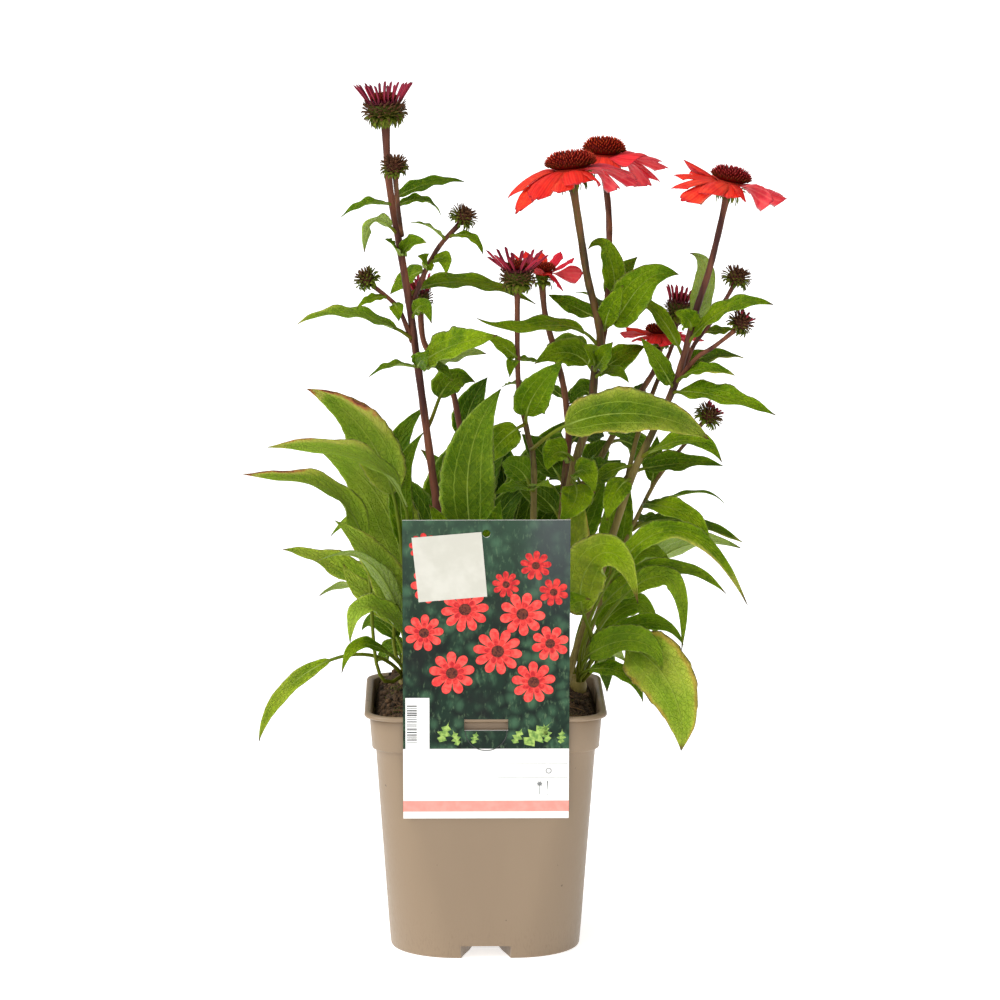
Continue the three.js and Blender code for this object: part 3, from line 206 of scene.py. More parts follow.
floor_form = Form()
floor_form.face(*[
    floor_form.point((x * FLOOR_HALF, y * FLOOR_HALF, -FLOOR_DROP))
    for x, y in ((-1, -1), (1, -1), (1, 1), (-1, 1))
])
floor_finish, tree, shader = finish_of(
    "floor_white", roughness=0.9, emission_color=(1, 1, 1, 1), emission_strength=FLOOR_GLOW,
)
patches, _ = mottled(tree, 900, 40)
white = blend(tree, patches, colour(246, 246, 245), colour(250, 250, 250))
tree.links.new(white, shader.inputs["Base Color"])
floor = floor_form.make("floor", floor_finish)

surround = bpy.data.worlds.new("surround")
surround.use_nodes = True
surround.node_tree.nodes["Background"].inputs["Color"].default_value = (1, 1, 1, 1)
surround.node_tree.nodes["Background"].inputs["Strength"].default_value = SURROUND_LIGHT
bpy.context.scene.world = surround
bpy.context.scene.view_settings.view_transform = "Standard"

for name, (towards, strength, breadth) in LAMPS.items():
    lamp_data = bpy.data.lights.new(name, "SUN")
    lamp_data.energy = strength
    lamp_data.angle = math.radians(breadth)
    lamp = bpy.data.objects.new(name, lamp_data)
    lamp.location = Vector(towards)
    lamp.rotation_mode = "QUATERNION"
    lamp.rotation_quaternion = (-Vector(towards)).to_track_quat("-Z", "Y")
    bpy.context.scene.collection.objects.link(lamp)

# ---------------------------------------------------------------- pot
# A square nursery pot, moulded in one piece from satin taupe polypropylene. Its wall is drawn
# with a slight taper, a soft step to the collar, a rolled lip, and drain channels underneath.
POT_HEIGHT = 156
RIM_HALF = 75
BAND_HALF = 71.7
BAND_TAPER = 1.4  # how much less the collar stands out at its foot
BODY_HALF = 68
FOOT_HALF = 59.4
COLLAR_BASE = 132
WALL = 1.4
RIM_CORNER = 20
FOOT_CORNER = 42
CORNER_STEPS = 16
FLOOR_TOP = 10.2
FLOOR_EDGE = 12  # the height at which the wall comes down to the floor
CHANNEL_HEIGHT = 8
CHANNEL_FLARE = ((26, 8), (38, 10.3), (49, 13.4), (FOOT_HALF + 4, 16.5))  # distance out, half width
DRAIN_HOLE = 4.5
DRAIN_HOLE_REACH = 32
HOLE_FACETS = 24
BODY_ROWS = 10


def rounded_square(half, corner, height):
    """A ring of points round a square with round corners, anticlockwise."""
    points = []
    for quarter, (sx, sy) in enumerate(((1, 1), (-1, 1), (-1, -1), (1, -1))):
        for step in range(CORNER_STEPS + 1):
            angle = (quarter + step / CORNER_STEPS) * math.pi / 2
            points.append(Vector((
                sx * (half - corner) + corner * math.cos(angle),
                sy * (half - corner) + corner * math.sin(angle),
                height,
            )))
    return points


def add_loft(form, rings, **marks):
    """A closed skin through rings of as many points, its first and last ring filled."""
    rows = [[form.point(place, **marks) for place in ring] for ring in rings]
    for low, high in zip(rows, rows[1:]):
        for k in range(len(low)):
            form.face(low[k - 1], low[k], high[k], high[k - 1])
    form.face(*reversed(rows[0]))
    form.face(*rows[-1])


def round_ring(x, y, radius, height, facets):
    """A ring of points round an upright axis."""
    turns = [2 * math.pi * k / facets for k in range(facets)]
    return [Vector((x + radius * math.cos(a), y + radius * math.sin(a), height)) for a in turns]


def corner_at(height):
    """The body's corner radius at a height."""
    return FOOT_CORNER + (RIM_CORNER - FOOT_CORNER) * min(height / COLLAR_BASE, 1)


def body_half(height):
    """Half the body's width at a height."""
    return FOOT_HALF + (BODY_HALF - FOOT_HALF) * height / COLLAR_BASE


def cut_out(piece, cutter):
    """Takes one piece out of another and clears the cutter away."""
    change = piece.modifiers.new("cut", "BOOLEAN")
    change.operation = "DIFFERENCE"
    change.object = cutter
    left = bpy.data.meshes.new_from_object(piece.evaluated_get(bpy.context.evaluated_depsgraph_get()))
    piece.modifiers.clear()
    piece.data = left
    bpy.data.objects.remove(cutter)


outside = [
    (FOOT_HALF - 1.6, FOOT_CORNER - 1.6, 0), (FOOT_HALF - 0.7, FOOT_CORNER - 0.7, 0.3),
    (FOOT_HALF - 0.2, FOOT_CORNER - 0.2, 1.0), (FOOT_HALF, FOOT_CORNER, 2.2),
]
for row in range(1, BODY_ROWS):
    height = 2.2 + (COLLAR_BASE - 3.4) * row / BODY_ROWS
    outside.append((body_half(height), corner_at(height), height))
outside += [(half, RIM_CORNER, height) for half, height in (
    (BODY_HALF - 0.05, COLLAR_BASE - 0.9), (BODY_HALF + 0.25, COLLAR_BASE - 0.2),
    (BODY_HALF + 1.3, COLLAR_BASE + 0.4), (BAND_HALF - 1.7, COLLAR_BASE + 0.7),
    (BAND_HALF - 1.35, COLLAR_BASE + 1.4), (BAND_HALF - 0.7, 142), (BAND_HALF, 151.3),
    (BAND_HALF - 0.2, 151.9), (BAND_HALF + 0.4, 152.4), (RIM_HALF - 1.4, 152.7), (RIM_HALF - 0.5, 153.1),
    (RIM_HALF, 153.9), (RIM_HALF - 0.05, 154.8), (RIM_HALF - 0.5, 155.6), (RIM_HALF - 1.3, POT_HEIGHT),
    (RIM_HALF - 2.4, POT_HEIGHT - 0.1),
)]
inside = [(half, RIM_CORNER - 1, height) for half, height in (
    (BAND_HALF - 0.3, POT_HEIGHT - 0.4), (BAND_HALF - WALL + 0.2, POT_HEIGHT - 1.3),
    (BAND_HALF - WALL - 0.2, 151), (BAND_HALF - BAND_TAPER - WALL, COLLAR_BASE + 2),
    (BODY_HALF - WALL, COLLAR_BASE - 1),
)]
for height, inset in ((FLOOR_TOP + 1.5, WALL), (FLOOR_TOP, WALL + 1.5)):
    inside.append((body_half(FLOOR_EDGE) - inset, corner_at(FLOOR_EDGE) - inset, height))
pot_form = Form()
add_loft(pot_form, [rounded_square(*row) for row in outside + inside])
pot = pot_form.make("pot_body")
one_side = [(-out, half) for out, half in reversed(CHANNEL_FLARE)] + list(CHANNEL_FLARE)
channel = [(x, -y) for x, y in one_side] + one_side[::-1]
for turned in (False, True):
    outline = [(-y, x) if turned else (x, y) for x, y in channel]
    channel_form = Form()
    add_loft(channel_form, [[Vector((x, y, z)) for x, y in outline] for z in (-1, CHANNEL_HEIGHT)])
    cut_out(pot, channel_form.make("channel"))
for x, y in ((0, 0), (1, 0), (-1, 0), (0, 1), (0, -1)):
    hole_form = Form()
    add_loft(hole_form, [
        round_ring(x * DRAIN_HOLE_REACH, y * DRAIN_HOLE_REACH, DRAIN_HOLE, height, HOLE_FACETS)
        for height in (CHANNEL_HEIGHT - 2, FLOOR_TOP + 2)
    ])
    cut_out(pot, hole_form.make("drain_hole"))
pot.data.set_sharp_from_angle(angle=math.radians(40))


def times(tree, first, second):
    """Two values multiplied."""
    return sum_of(tree, "MULTIPLY", first, second)


def plus(tree, first, second):
    """Two values added."""
    return sum_of(tree, "ADD", first, second)


def eased(tree, value, start, end, low=0.0, high=1.0):
    """A value turned smoothly from low, at start, to high, at end."""
    inputs = {"Value": value, "From Min": start, "From Max": end, "To Min": low, "To Max": high}
    made = put(tree, "ShaderNodeMapRange", inputs, interpolation_type="SMOOTHSTEP")
    return made.outputs["Result"]


def washed(tree, base, *washes):
    """A colour with others laid over it, each by its own share."""
    for share, over in washes:
        base = blend(tree, share, base, over)
    return base


def wear(tree, shader, grain, base, roughness, *layers):
    """Joins a colour, roughness that runs between two values with the grain, and relief.

    Relief is added up from patterns that each stand so many millimetres high."""
    joined = {"Base Color": base, "Roughness": eased(tree, grain, 0.3, 0.7, *roughness)}
    height = None
    for pattern, rise in layers:
        layer = times(tree, pattern, rise)
        height = layer if height is None else plus(tree, height, layer)
    if layers:
        inputs = {"Height": height, "Strength": 1.0, "Distance": MILLIMETRE}
        joined["Normal"] = put(tree, "ShaderNodeBump", inputs).outputs["Normal"]
    for socket, output in joined.items():
        tree.links.new(output, shader.inputs[socket])


def height_of(tree):
    """The height above the floor, in metres."""
    place = put(tree, "ShaderNodeTexCoord").outputs["Object"]
    return put(tree, "ShaderNodeSeparateXYZ", {0: place}).outputs[2]


pot_finish, tree, shader = finish_of("taupe_polypropylene", specular_ior_level=0.45)
patches, grain = mottled(tree, 45, 1.1, 4.0)
dots, fine = mottled(tree, 7, 0.35)
splash = times(tree, eased(tree, height_of(tree), 0.03, 0.0), eased(tree, grain, 0.5, 0.72, high=0.35))
base = washed(
    tree, blend(tree, patches, colour(131, 111, 88), colour(140, 120, 96)),
    (eased(tree, dots, 0.73, 0.76, high=0.75), colour(74, 60, 48)),
    (splash, colour(112, 92, 72)),
)
wear(tree, shader, grain, base, (0.36, 0.48), (fine, 0.018), (patches, 0.12))
pot.data.materials.clear()
pot.data.materials.append(pot_finish)
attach(pot, "root")
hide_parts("pot")

# ---------------------------------------------------------------- soil
# The root ball is dark peat, crumbly on top and mounded at the back, with bark fibres and cushions
# of moss. It fills the pot up to a finger's width under the lip.
GAP = 0.35  # between pieces that would touch
SOIL_EDGE = 147
SOIL_RISE = 17
SOIL_DIP = 3
SOIL_HALF = BAND_HALF - BAND_TAPER - WALL - GAP
SOIL_POINTS = 176  # round each ring
SOIL_RINGS = 42
SOIL_LUMPS = ((17, 2.6), (6, 2.0), (2.4, 1.1))  # how broad and how high each size of lump is
CRUMBS = 1500
CRUMB_SIDES = 5
FIBRES = 110
FIBRE_RADII = (0.2, 0.42, 0.38, 0.15)
MOSS_CUSHIONS = 46
MOSS_SPREAD = 1.9
MOSS_SPRIGS = 22  # in each cushion
MOSS_RADIUS = 0.32


def soil_top(x, y):
    """The height of the soil."""
    out = min(max(abs(x), abs(y)) / SOIL_HALF, 1)
    back = min(max((y + SOIL_HALF) / SOIL_HALF, 0), 1)
    return SOIL_EDGE + (SOIL_DIP + (SOIL_RISE - SOIL_DIP) * back) * (1 - out ** 6)


def evenly(ring, count):
    """A closed ring of points, put again at even distances."""
    marks = [0]
    for before, after in zip(ring, ring[1:] + ring[:1]):
        marks.append(marks[-1] + (after - before).length)
    spread = []
    step = 0
    for k in range(count):
        wanted = marks[-1] * k / count
        while marks[step + 1] < wanted:
            step += 1
        share = (wanted - marks[step]) / (marks[step + 1] - marks[step])
        spread.append(ring[step].lerp(ring[(step + 1) % len(ring)], share))
    return spread


def soil_lump(x, y):
    """How far the crumbly surface stands over or under its mean height."""
    lump = 0
    for size, rise in SOIL_LUMPS:
        lump += rise * noise.noise(Vector((x / size, y / size, size)))
    return lump


def on_soil(x, y, rise):
    """A place so far over the crumbly surface."""
    return Vector((x, y, soil_top(x, y) + soil_lump(x, y) + rise))


soil_sides = [
    rounded_square(body_half(FLOOR_EDGE) - WALL - 1.5 - GAP, corner_at(FLOOR_EDGE) - 2, FLOOR_TOP + GAP),
    rounded_square(body_half(14) - WALL - GAP, corner_at(14) - 1, FLOOR_TOP + 3),
    rounded_square(BODY_HALF - WALL - GAP, RIM_CORNER - 1, COLLAR_BASE - 0.5),
    rounded_square(SOIL_HALF, RIM_CORNER - 1, COLLAR_BASE + 2.5),
]
soil_rings = [evenly(ring, SOIL_POINTS) for ring in soil_sides]
for row in range(SOIL_RINGS):
    share = 1 - row / (SOIL_RINGS - 0.5)
    ring = evenly(rounded_square(SOIL_HALF * share, (RIM_CORNER - 1) * share, 0), SOIL_POINTS)
    for place in ring:
        place.z = soil_top(place.x, place.y) + (soil_lump(place.x, place.y) if row else 0)
    soil_rings.append(ring)
soil_form = Form()
add_loft(soil_form, soil_rings)

soil_finish, tree, shader = finish_of("peat", specular_ior_level=0.25)
patches, grain = mottled(tree, 9, 1.4)
base = blend(tree, eased(tree, grain, 0.35, 0.7), colour(36, 27, 19), colour(96, 72, 50))
base = blend(tree, eased(tree, patches, 0.5, 0.8, high=0.5), base, colour(58, 50, 26))
wear(tree, shader, grain, base, (0.98, 0.75), (grain, 0.9))
soil = soil_form.make("root_ball", soil_finish)
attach(soil, "root")
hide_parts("soil")


def add_spike(form, foot, tip, radius, coat=0, **marks):
    """A closed three-sided spike."""
    axis = (tip - foot).normalized()
    first = axis.orthogonal().normalized() * radius
    second = axis.cross(first)
    corners = []
    for turn in (0, 2 * math.pi / 3, 4 * math.pi / 3):
        corners.append(form.point(foot + first * math.cos(turn) + second * math.sin(turn), **marks))
    end = form.point(tip, **{**marks, "along": 1})
    form.face(*reversed(corners), coat=coat)
    for k in range(3):
        form.face(corners[k - 1], corners[k], end, coat=coat)


def add_tube(form, path, radii, sides, coat=0, along=None, **marks):
    """A closed tube along a path, with a radius at each of its points."""
    rings = []
    last = len(path) - 1
    sideways = None
    for i, place in enumerate(path):
        axis = (path[min(i + 1, last)] - path[max(i - 1, 0)]).normalized()
        sideways = sideways - axis * sideways.dot(axis) if sideways else axis.orthogonal()
        sideways.normalize()
        other = axis.cross(sideways)
        turns = [2 * math.pi * k / sides for k in range(sides)]
        rings.append([place + (sideways * math.cos(a) + other * math.sin(a)) * radii[i] for a in turns])
    rows = []
    for i, ring in enumerate(rings):
        share = along[i] if along else i / last
        rows.append([form.point(place, **{**marks, "along": share}) for place in ring])
    for low, high in zip(rows, rows[1:]):
        for k in range(sides):
            form.face(low[k - 1], low[k], high[k], high[k - 1], coat=coat)
    form.face(*reversed(rows[0]), coat=coat)
    form.face(*rows[-1], coat=coat)


chance = random.Random(11)


def somewhere(inset):
    """A random place on the soil, at least so far in from its edge."""
    return [chance.uniform(-1, 1) * (SOIL_HALF - inset) for _ in range(2)]


crumb_form = Form("along", "tint")
for _ in range(CRUMBS):
    x, y = somewhere(2.5)
    radius = 0.5 + 1.9 * chance.random() ** 3
    centre = on_soil(x, y, radius * 0.3)
    tilt = Vector((chance.uniform(-1, 1), chance.uniform(-1, 1), 1)).normalized()
    path = [centre - tilt * radius * 0.8, centre, centre + tilt * radius * chance.uniform(0.5, 0.8)]
    radii = [radius * chance.uniform(0.5, 0.8), radius, radius * chance.uniform(0.4, 0.7)]
    add_tube(crumb_form, path, radii, CRUMB_SIDES, tint=chance.random())
for _ in range(FIBRES):
    x, y = somewhere(12)
    turn = chance.uniform(0, math.pi)
    reach = chance.uniform(3, 9)
    path = []
    for share in (-1, -0.3, 0.4, 1):
        px = x + reach * share * math.cos(turn)
        py = y + reach * share * math.sin(turn) + chance.uniform(-0.8, 0.8)
        path.append(on_soil(px, py, chance.uniform(0.4, 1.6)))
    add_tube(crumb_form, path, FIBRE_RADII, CRUMB_SIDES, coat=1, tint=chance.random())
for _ in range(MOSS_CUSHIONS):
    x, y = somewhere(7)
    for _ in range(MOSS_SPRIGS):
        foot = on_soil(x + chance.gauss(0, MOSS_SPREAD), y + chance.gauss(0, MOSS_SPREAD), -0.3)
        lean = Vector((chance.uniform(-0.7, 0.7), chance.uniform(-0.7, 0.7), 1))
        tip = foot + lean * chance.uniform(1.2, 2.8)
        add_spike(crumb_form, foot, tip, MOSS_RADIUS, coat=2, tint=chance.random())


def mark_of(tree, mark):
    """The value that a form keeps at each point under a name."""
    return put(tree, "ShaderNodeAttribute", attribute_name=mark).outputs["Fac"]


crumb_finish, tree, shader = finish_of("peat_crumbs", specular_ior_level=0.25)
_, grain = mottled(tree, 4, 0.8)
tone = times(tree, mark_of(tree, "tint"), eased(tree, grain, 0.2, 0.8, 0.4, 1.1))
base = blend(tree, tone, colour(34, 25, 17), colour(118, 90, 64))
wear(tree, shader, grain, base, (0.98, 0.7), (grain, 1.0))
fibre_finish, tree, shader = finish_of("bark_fibre", specular_ior_level=0.3)
_, grain = mottled(tree, 3, 0.5, 3.0)
base = blend(tree, mark_of(tree, "tint"), colour(96, 68, 44), colour(166, 126, 84))
base = blend(tree, eased(tree, grain, 0.4, 0.7, high=0.6), base, colour(58, 38, 24))
wear(tree, shader, grain, base, (0.9, 0.7), (grain, 1.0))
moss_finish, tree, shader = finish_of("moss", specular_ior_level=0.3)
_, grain = mottled(tree, 3, 0.5)
base = blend(tree, mark_of(tree, "along"), colour(46, 44, 18), colour(112, 120, 40))
base = blend(tree, times(tree, mark_of(tree, "tint"), 0.5), base, colour(92, 84, 34))
wear(tree, shader, grain, base, (0.9, 0.7))
crumbs = crumb_form.make("soil_crumbs", crumb_finish, fibre_finish, moss_finish)
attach(crumbs, "root")

# ---------------------------------------------------------------- label
# The label is one card of white plastic, hung on the lip by a tongue that is folded back through
# its slot. Its print is a flower bed over a white panel: every colour is a layer of ink, and a dark
# strip under the slot is a painted shadow line.
CARD_WIDTH = 102
CARD_LENGTH = 193
CARD_FOOT = 91
CARD_THICK = 0.8
CARD_LEAN = 0.15
SLOT_WIDTH = 27
SLOT_BASE = 148
SLOT_TOP = 155.2
HOOK_WIDTH = 24
PUNCHED_HOLE = (0, CARD_LENGTH - 8.5, 2.5)
PICTURE_BASE = 45.7
INK = 0.03  # thickness of one layer

lean = math.atan(CARD_LEAN)
card_back = -(RIM_HALF + GAP + 0.1) - CARD_LEAN * (CARD_FOOT - 154.6)
CARD_PLANE = Matrix((
    (1, 0, 0, 0),
    (0, -math.sin(lean), -math.cos(lean), card_back),
    (0, math.cos(lean), -math.sin(lean), CARD_FOOT),
    (0, 0, 0, 1),
))


def card_sheet(outlines, back, front):
    """The mesh of a flat sheet on the card, between two depths. Outlines inside others are holes."""
    drawing = bpy.data.curves.new("drawing", "CURVE")
    drawing.dimensions = "2D"
    drawing.fill_mode = "BOTH"
    drawing.extrude = (front - back) / 2
    for outline in outlines:
        line = drawing.splines.new("POLY")
        line.points.add(len(outline) - 1)
        for point, (x, y) in zip(line.points, outline):
            point.co = (x, y, 0, 1)
        line.use_cyclic_u = True
    sheet = bpy.data.meshes.new_from_object(bpy.data.objects.new("drawing", drawing))
    bpy.data.objects.remove(bpy.data.objects["drawing"])
    sheet.transform(CARD_PLANE @ Matrix.Translation((0, 0, (back + front) / 2)))
    return sheet


def box_outline(left, low, right, high):
    """A rectangle on the card."""
    return [(left, low), (right, low), (right, high), (left, high)]


def round_outline(x, y, radius, start=0.0, end=2 * math.pi, steps=28):
    """A circle or an arc on the card."""
    turns = [start + (end - start) * k / steps for k in range(steps + (end - start < 6))]
    return [(x + radius * math.cos(a), y + radius * math.sin(a)) for a in turns]


def card_height(z):
    """How far up the card a height is."""
    return (z - CARD_FOOT) / math.cos(lean)


slot = box_outline(-SLOT_WIDTH / 2, card_height(SLOT_BASE), SLOT_WIDTH / 2, card_height(SLOT_TOP))
punched = round_outline(*PUNCHED_HOLE)


def printed(name, *tones, patch=6.0, grain=1.0):
    """A printed finish that runs between two tones."""
    made, tree, shader = finish_of(name, specular_ior_level=0.2)
    patches, fine = mottled(tree, patch, grain)
    wear(tree, shader, fine, blend(tree, eased(tree, patches, 0.35, 0.65), *tones), (0.3, 0.4))
    return made


def blurred_bed():
    """The out-of-focus flower bed: dark green leaves, lighter above, with a mauve haze at one side."""
    made, tree, shader = finish_of("ink_flower_bed", specular_ior_level=0.15)
    spot = put(tree, "ShaderNodeTexCoord").outputs["Object"]
    patches, fine = mottled(tree, 8, 2.2, 2.2)
    broad, _ = mottled(tree, 26, 9)
    leafy = put(tree, "ShaderNodeTexVoronoi", {"Vector": spot, "Scale": 120.0, "Randomness": 1.0})
    cells = eased(tree, leafy.outputs["Distance"], 0.1, 0.75)
    axes = put(tree, "ShaderNodeSeparateXYZ", {0: spot})
    high = eased(tree, axes.outputs[2], 0.2, 0.29)
    right = eased(tree, axes.outputs[0], POT_AXIS.x + 0.01, POT_AXIS.x + 0.045)
    base = washed(
        tree, blend(tree, cells, colour(62, 96, 70), colour(12, 26, 20)),
        (eased(tree, patches, 0.4, 0.65), colour(20, 42, 30)),
        (eased(tree, fine, 0.55, 0.75, high=0.45), colour(104, 132, 96)),
        (eased(tree, broad, 0.5, 0.7, high=0.75), colour(22, 26, 24)),
        (times(tree, high, eased(tree, right, 0, 1, 0.1, 0.7)), colour(78, 68, 86)),
        (times(tree, high, 0.25), colour(74, 112, 80)),
    )
    wear(tree, shader, fine, base, (0.3, 0.4))
    return made


def daisy(x, y, radius, petals, turn, steps=10):
    """The outline of a flower with round petals, seen from above, each drawn in a few steps."""
    outline = []
    for k in range(petals * steps):
        swing = abs(math.cos(k / steps * math.pi))
        reach = radius * (0.42 + 0.58 * swing ** 0.4)
        angle = turn + k / steps * 2 * math.pi / petals
        outline.append((x + reach * math.cos(angle), y + reach * math.sin(angle)))
    return outline


def sprig(x, y, length, turn, barbs=8):
    """The outline of a feathery sprig."""
    left, right = [], []
    for k in range(barbs + 1):
        share = k / barbs
        reach = length * 0.3 * math.sin(math.pi * min(share + 0.12, 1)) * (1 if k % 2 else 0.3)
        left.append((length * share, reach))
        right.append((length * share + length * 0.04, -reach))
    points = left + [(length * 1.08, 0)] + right[::-1]
    c, s = math.cos(turn), math.sin(turn)
    return [(x + a * c - b * s, y + a * s + b * c) for a, b in points]


card_half = CARD_WIDTH / 2
plastic, tree, shader = finish_of("card_plastic", specular_ior_level=0.45, coat_weight=0.1)
patches, grain = mottled(tree, 20, 0.6)
base = blend(tree, patches, colour(238, 237, 233), colour(246, 245, 242))
wear(tree, shader, grain, base, (0.34, 0.44), (grain, 0.01))
white = printed("ink_white", colour(244, 243, 240), colour(250, 250, 248))
bed = blurred_bed()
red = printed("ink_red", colour(226, 52, 50), colour(246, 88, 78), patch=3.0)
deep_red = printed("ink_deep_red", colour(176, 26, 34), colour(224, 60, 52), patch=3.0)
brown = printed("ink_brown", colour(60, 18, 18), colour(112, 52, 34), patch=1.2)
coral = printed("ink_coral", colour(238, 146, 134), colour(242, 156, 144))
grey = printed("ink_grey", colour(120, 122, 122), colour(140, 142, 142))
dark = printed("ink_dark_and_slot_shadow", colour(52, 54, 54), colour(70, 70, 70))
fresh = printed("ink_fresh_green", colour(96, 132, 60), colour(162, 190, 96), patch=2.5)
stone = printed("ink_stone", colour(196, 194, 182), colour(206, 204, 193), patch=14.0)

FLOWERS = (  # place, radius, petals, turn, deep in the bed
    (-38, 176, 9, 9, 0.2, True), (-22, 168, 8.5, 8, 0.7, True), (30, 164, 9.5, 9, 0.1, True),
    (41, 147, 9, 8, 0.5, True), (12, 152, 8.5, 9, 0.9, True),
    (-34, 152, 12, 9, 0.4, False), (-13, 136, 14.5, 10, 0.1, False), (22, 133, 14, 9, 0.6, False),
    (-38, 121, 12, 9, 0.8, False), (39, 114, 11.5, 8, 0.3, False), (7, 109, 15, 10, 0.5, False),
    (-21, 95, 14, 9, 0.2, False), (29, 89, 13.5, 9, 0.9, False),
)
SPRIGS = (  # place, length, turn
    (-28, 50, 15, 1.2), (-17, 48, 11, 1.9), (-8, 49, 9, 1.3), (17, 49, 12, 1.1), (24, 48, 22, 0.75),
    (38, 50, 13, 1.8), (46, 49, 10, 1.5),
)
FLOWER_STEP = 0.012  # how much higher each flower lies than the one before
STICKER = 0.1  # thickness of the note and of the white panel
BARS = (50.0, 74.0)  # where the row of bars starts and ends
SLOT_SHADE = 13  # half the width of the dark edge under the slot
layers = []


def lay(ink, outlines, back, front):
    """Lays a finish on the card, inside outlines and between two depths."""
    layers.append((card_sheet(outlines, back, front), ink))


surface = CARD_THICK
lay(plastic, [box_outline(-card_half, 0, card_half, CARD_LENGTH), slot, punched], 0, surface)
picture = box_outline(-card_half, PICTURE_BASE, card_half, CARD_LENGTH)
stripe = box_outline(-card_half, 4.5, card_half, 11.6)
lay(bed, [picture, slot, punched], surface - 0.01, surface + INK)
lay(coral, [stripe], surface - 0.01, surface + INK)
depth = surface + INK
for x, y, radius, petals, turn, deep in FLOWERS:
    depth += FLOWER_STEP
    lay(deep_red if deep else red, [daisy(x, y, radius, petals, turn)], depth - INK, depth)
    lay(deep_red, [daisy(x, y, radius * 0.55, petals, turn)], depth - INK, depth + 0.004)
    lay(brown, [round_outline(x, y, radius * 0.26)], depth - INK, depth + 0.012)
for x, y, length, turn in SPRIGS:
    lay(fresh, [sprig(x, y, length, turn)], surface, surface + 2 * INK)
note = [(-45.4, 182.0), (-3.0, 185.6), (0.6, 144.4), (-41.2, 140.8)]
panel = box_outline(-49.5, PICTURE_BASE - 1.5, -34.8, 79)
for sticker, ink in ((note, stone), (panel, white)):
    lay(ink, [sticker], depth, depth + STICKER)
rules = [box_outline(6.9, y - 0.12, card_half - 1, y + 0.12) for y in (35.8, 26.7)]
sun = [round_outline(38.5, 31.2, 1.9), round_outline(38.5, 31.2, 1.3)]
bracket = [
    box_outline(38.2, 15.4, 38.5, 24.6), box_outline(37.4, 24.3, 38.2, 24.6),
    box_outline(37.4, 15.4, 38.2, 15.7),
]
little_plant = [daisy(33, 22.6, 1.7, 7, 0.2), box_outline(32.8, 15.6, 33.2, 20.9)]
for small_mark in (rules, sun, bracket, little_plant):
    lay(grey, small_mark, surface, surface + INK)
# The dark strip under the slot is a painted shadow line.
slot_edge = card_height(SLOT_BASE) - 0.3
lay(dark, [box_outline(-SLOT_SHADE - 0.4, slot_edge, SLOT_SHADE + 0.4, slot_edge + 0.25)], surface, depth)
bars = []
bar_foot, bar_end = BARS
while bar_foot < bar_end:
    thick = chance.choice((0.35, 0.5, 0.8))
    bars.append(box_outline(-48.6, bar_foot, -42.5, bar_foot + thick))
    bar_foot += thick + chance.choice((0.4, 0.6, 0.9))
lay(dark, bars, depth + STICKER, depth + STICKER + INK)
tongue = round_outline(0, slot_edge, SLOT_SHADE, math.pi, 2 * math.pi)
tongue += round_outline(0, slot_edge, SLOT_SHADE - 0.4, 2 * math.pi, math.pi)
lay(dark, [tongue], surface, depth + 0.1)

hook_top = POT_HEIGHT + GAP
hook_back = -(BAND_HALF - WALL - 0.2 - 1.4)
hook_front = card_back - CARD_LEAN * (hook_top - CARD_FOOT) - CARD_THICK / 2
hook_form = Form()
hook_profile = [
    (hook_front, hook_top), (hook_back - CARD_THICK, hook_top), (hook_back - CARD_THICK, hook_top - 6.5),
    (hook_back, hook_top - 6.5), (hook_back, hook_top + CARD_THICK), (hook_front, hook_top + CARD_THICK),
]
add_loft(hook_form, [
    [Vector((x, y, z)) for y, z in hook_profile] for x in (-HOOK_WIDTH / 2, HOOK_WIDTH / 2)
])
hook = hook_form.make("label_hook", plastic)
hook.data.set_sharp_from_angle(angle=math.radians(30))
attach(hook, "root")

card_inks = []
card_points, card_faces, card_coats = [], [], []
for sheet, ink in layers:
    if ink not in card_inks:
        card_inks.append(ink)
    first = len(card_points)
    card_points += [to_frame(vertex.co) for vertex in sheet.vertices]
    card_faces += [[first + corner for corner in face.vertices] for face in sheet.polygons]
    card_coats += [card_inks.index(ink)] * len(sheet.polygons)
    bpy.data.meshes.remove(sheet)
card_mesh = bpy.data.meshes.new("label_card_print")
card_mesh.from_pydata(card_points, [], card_faces)
card_mesh.polygons.foreach_set("material_index", card_coats)
for ink in card_inks:
    card_mesh.materials.append(ink)
card = bpy.data.objects.new("label_card_print", card_mesh)
bpy.context.scene.collection.objects.link(card)
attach(card, "root")
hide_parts("label_card")

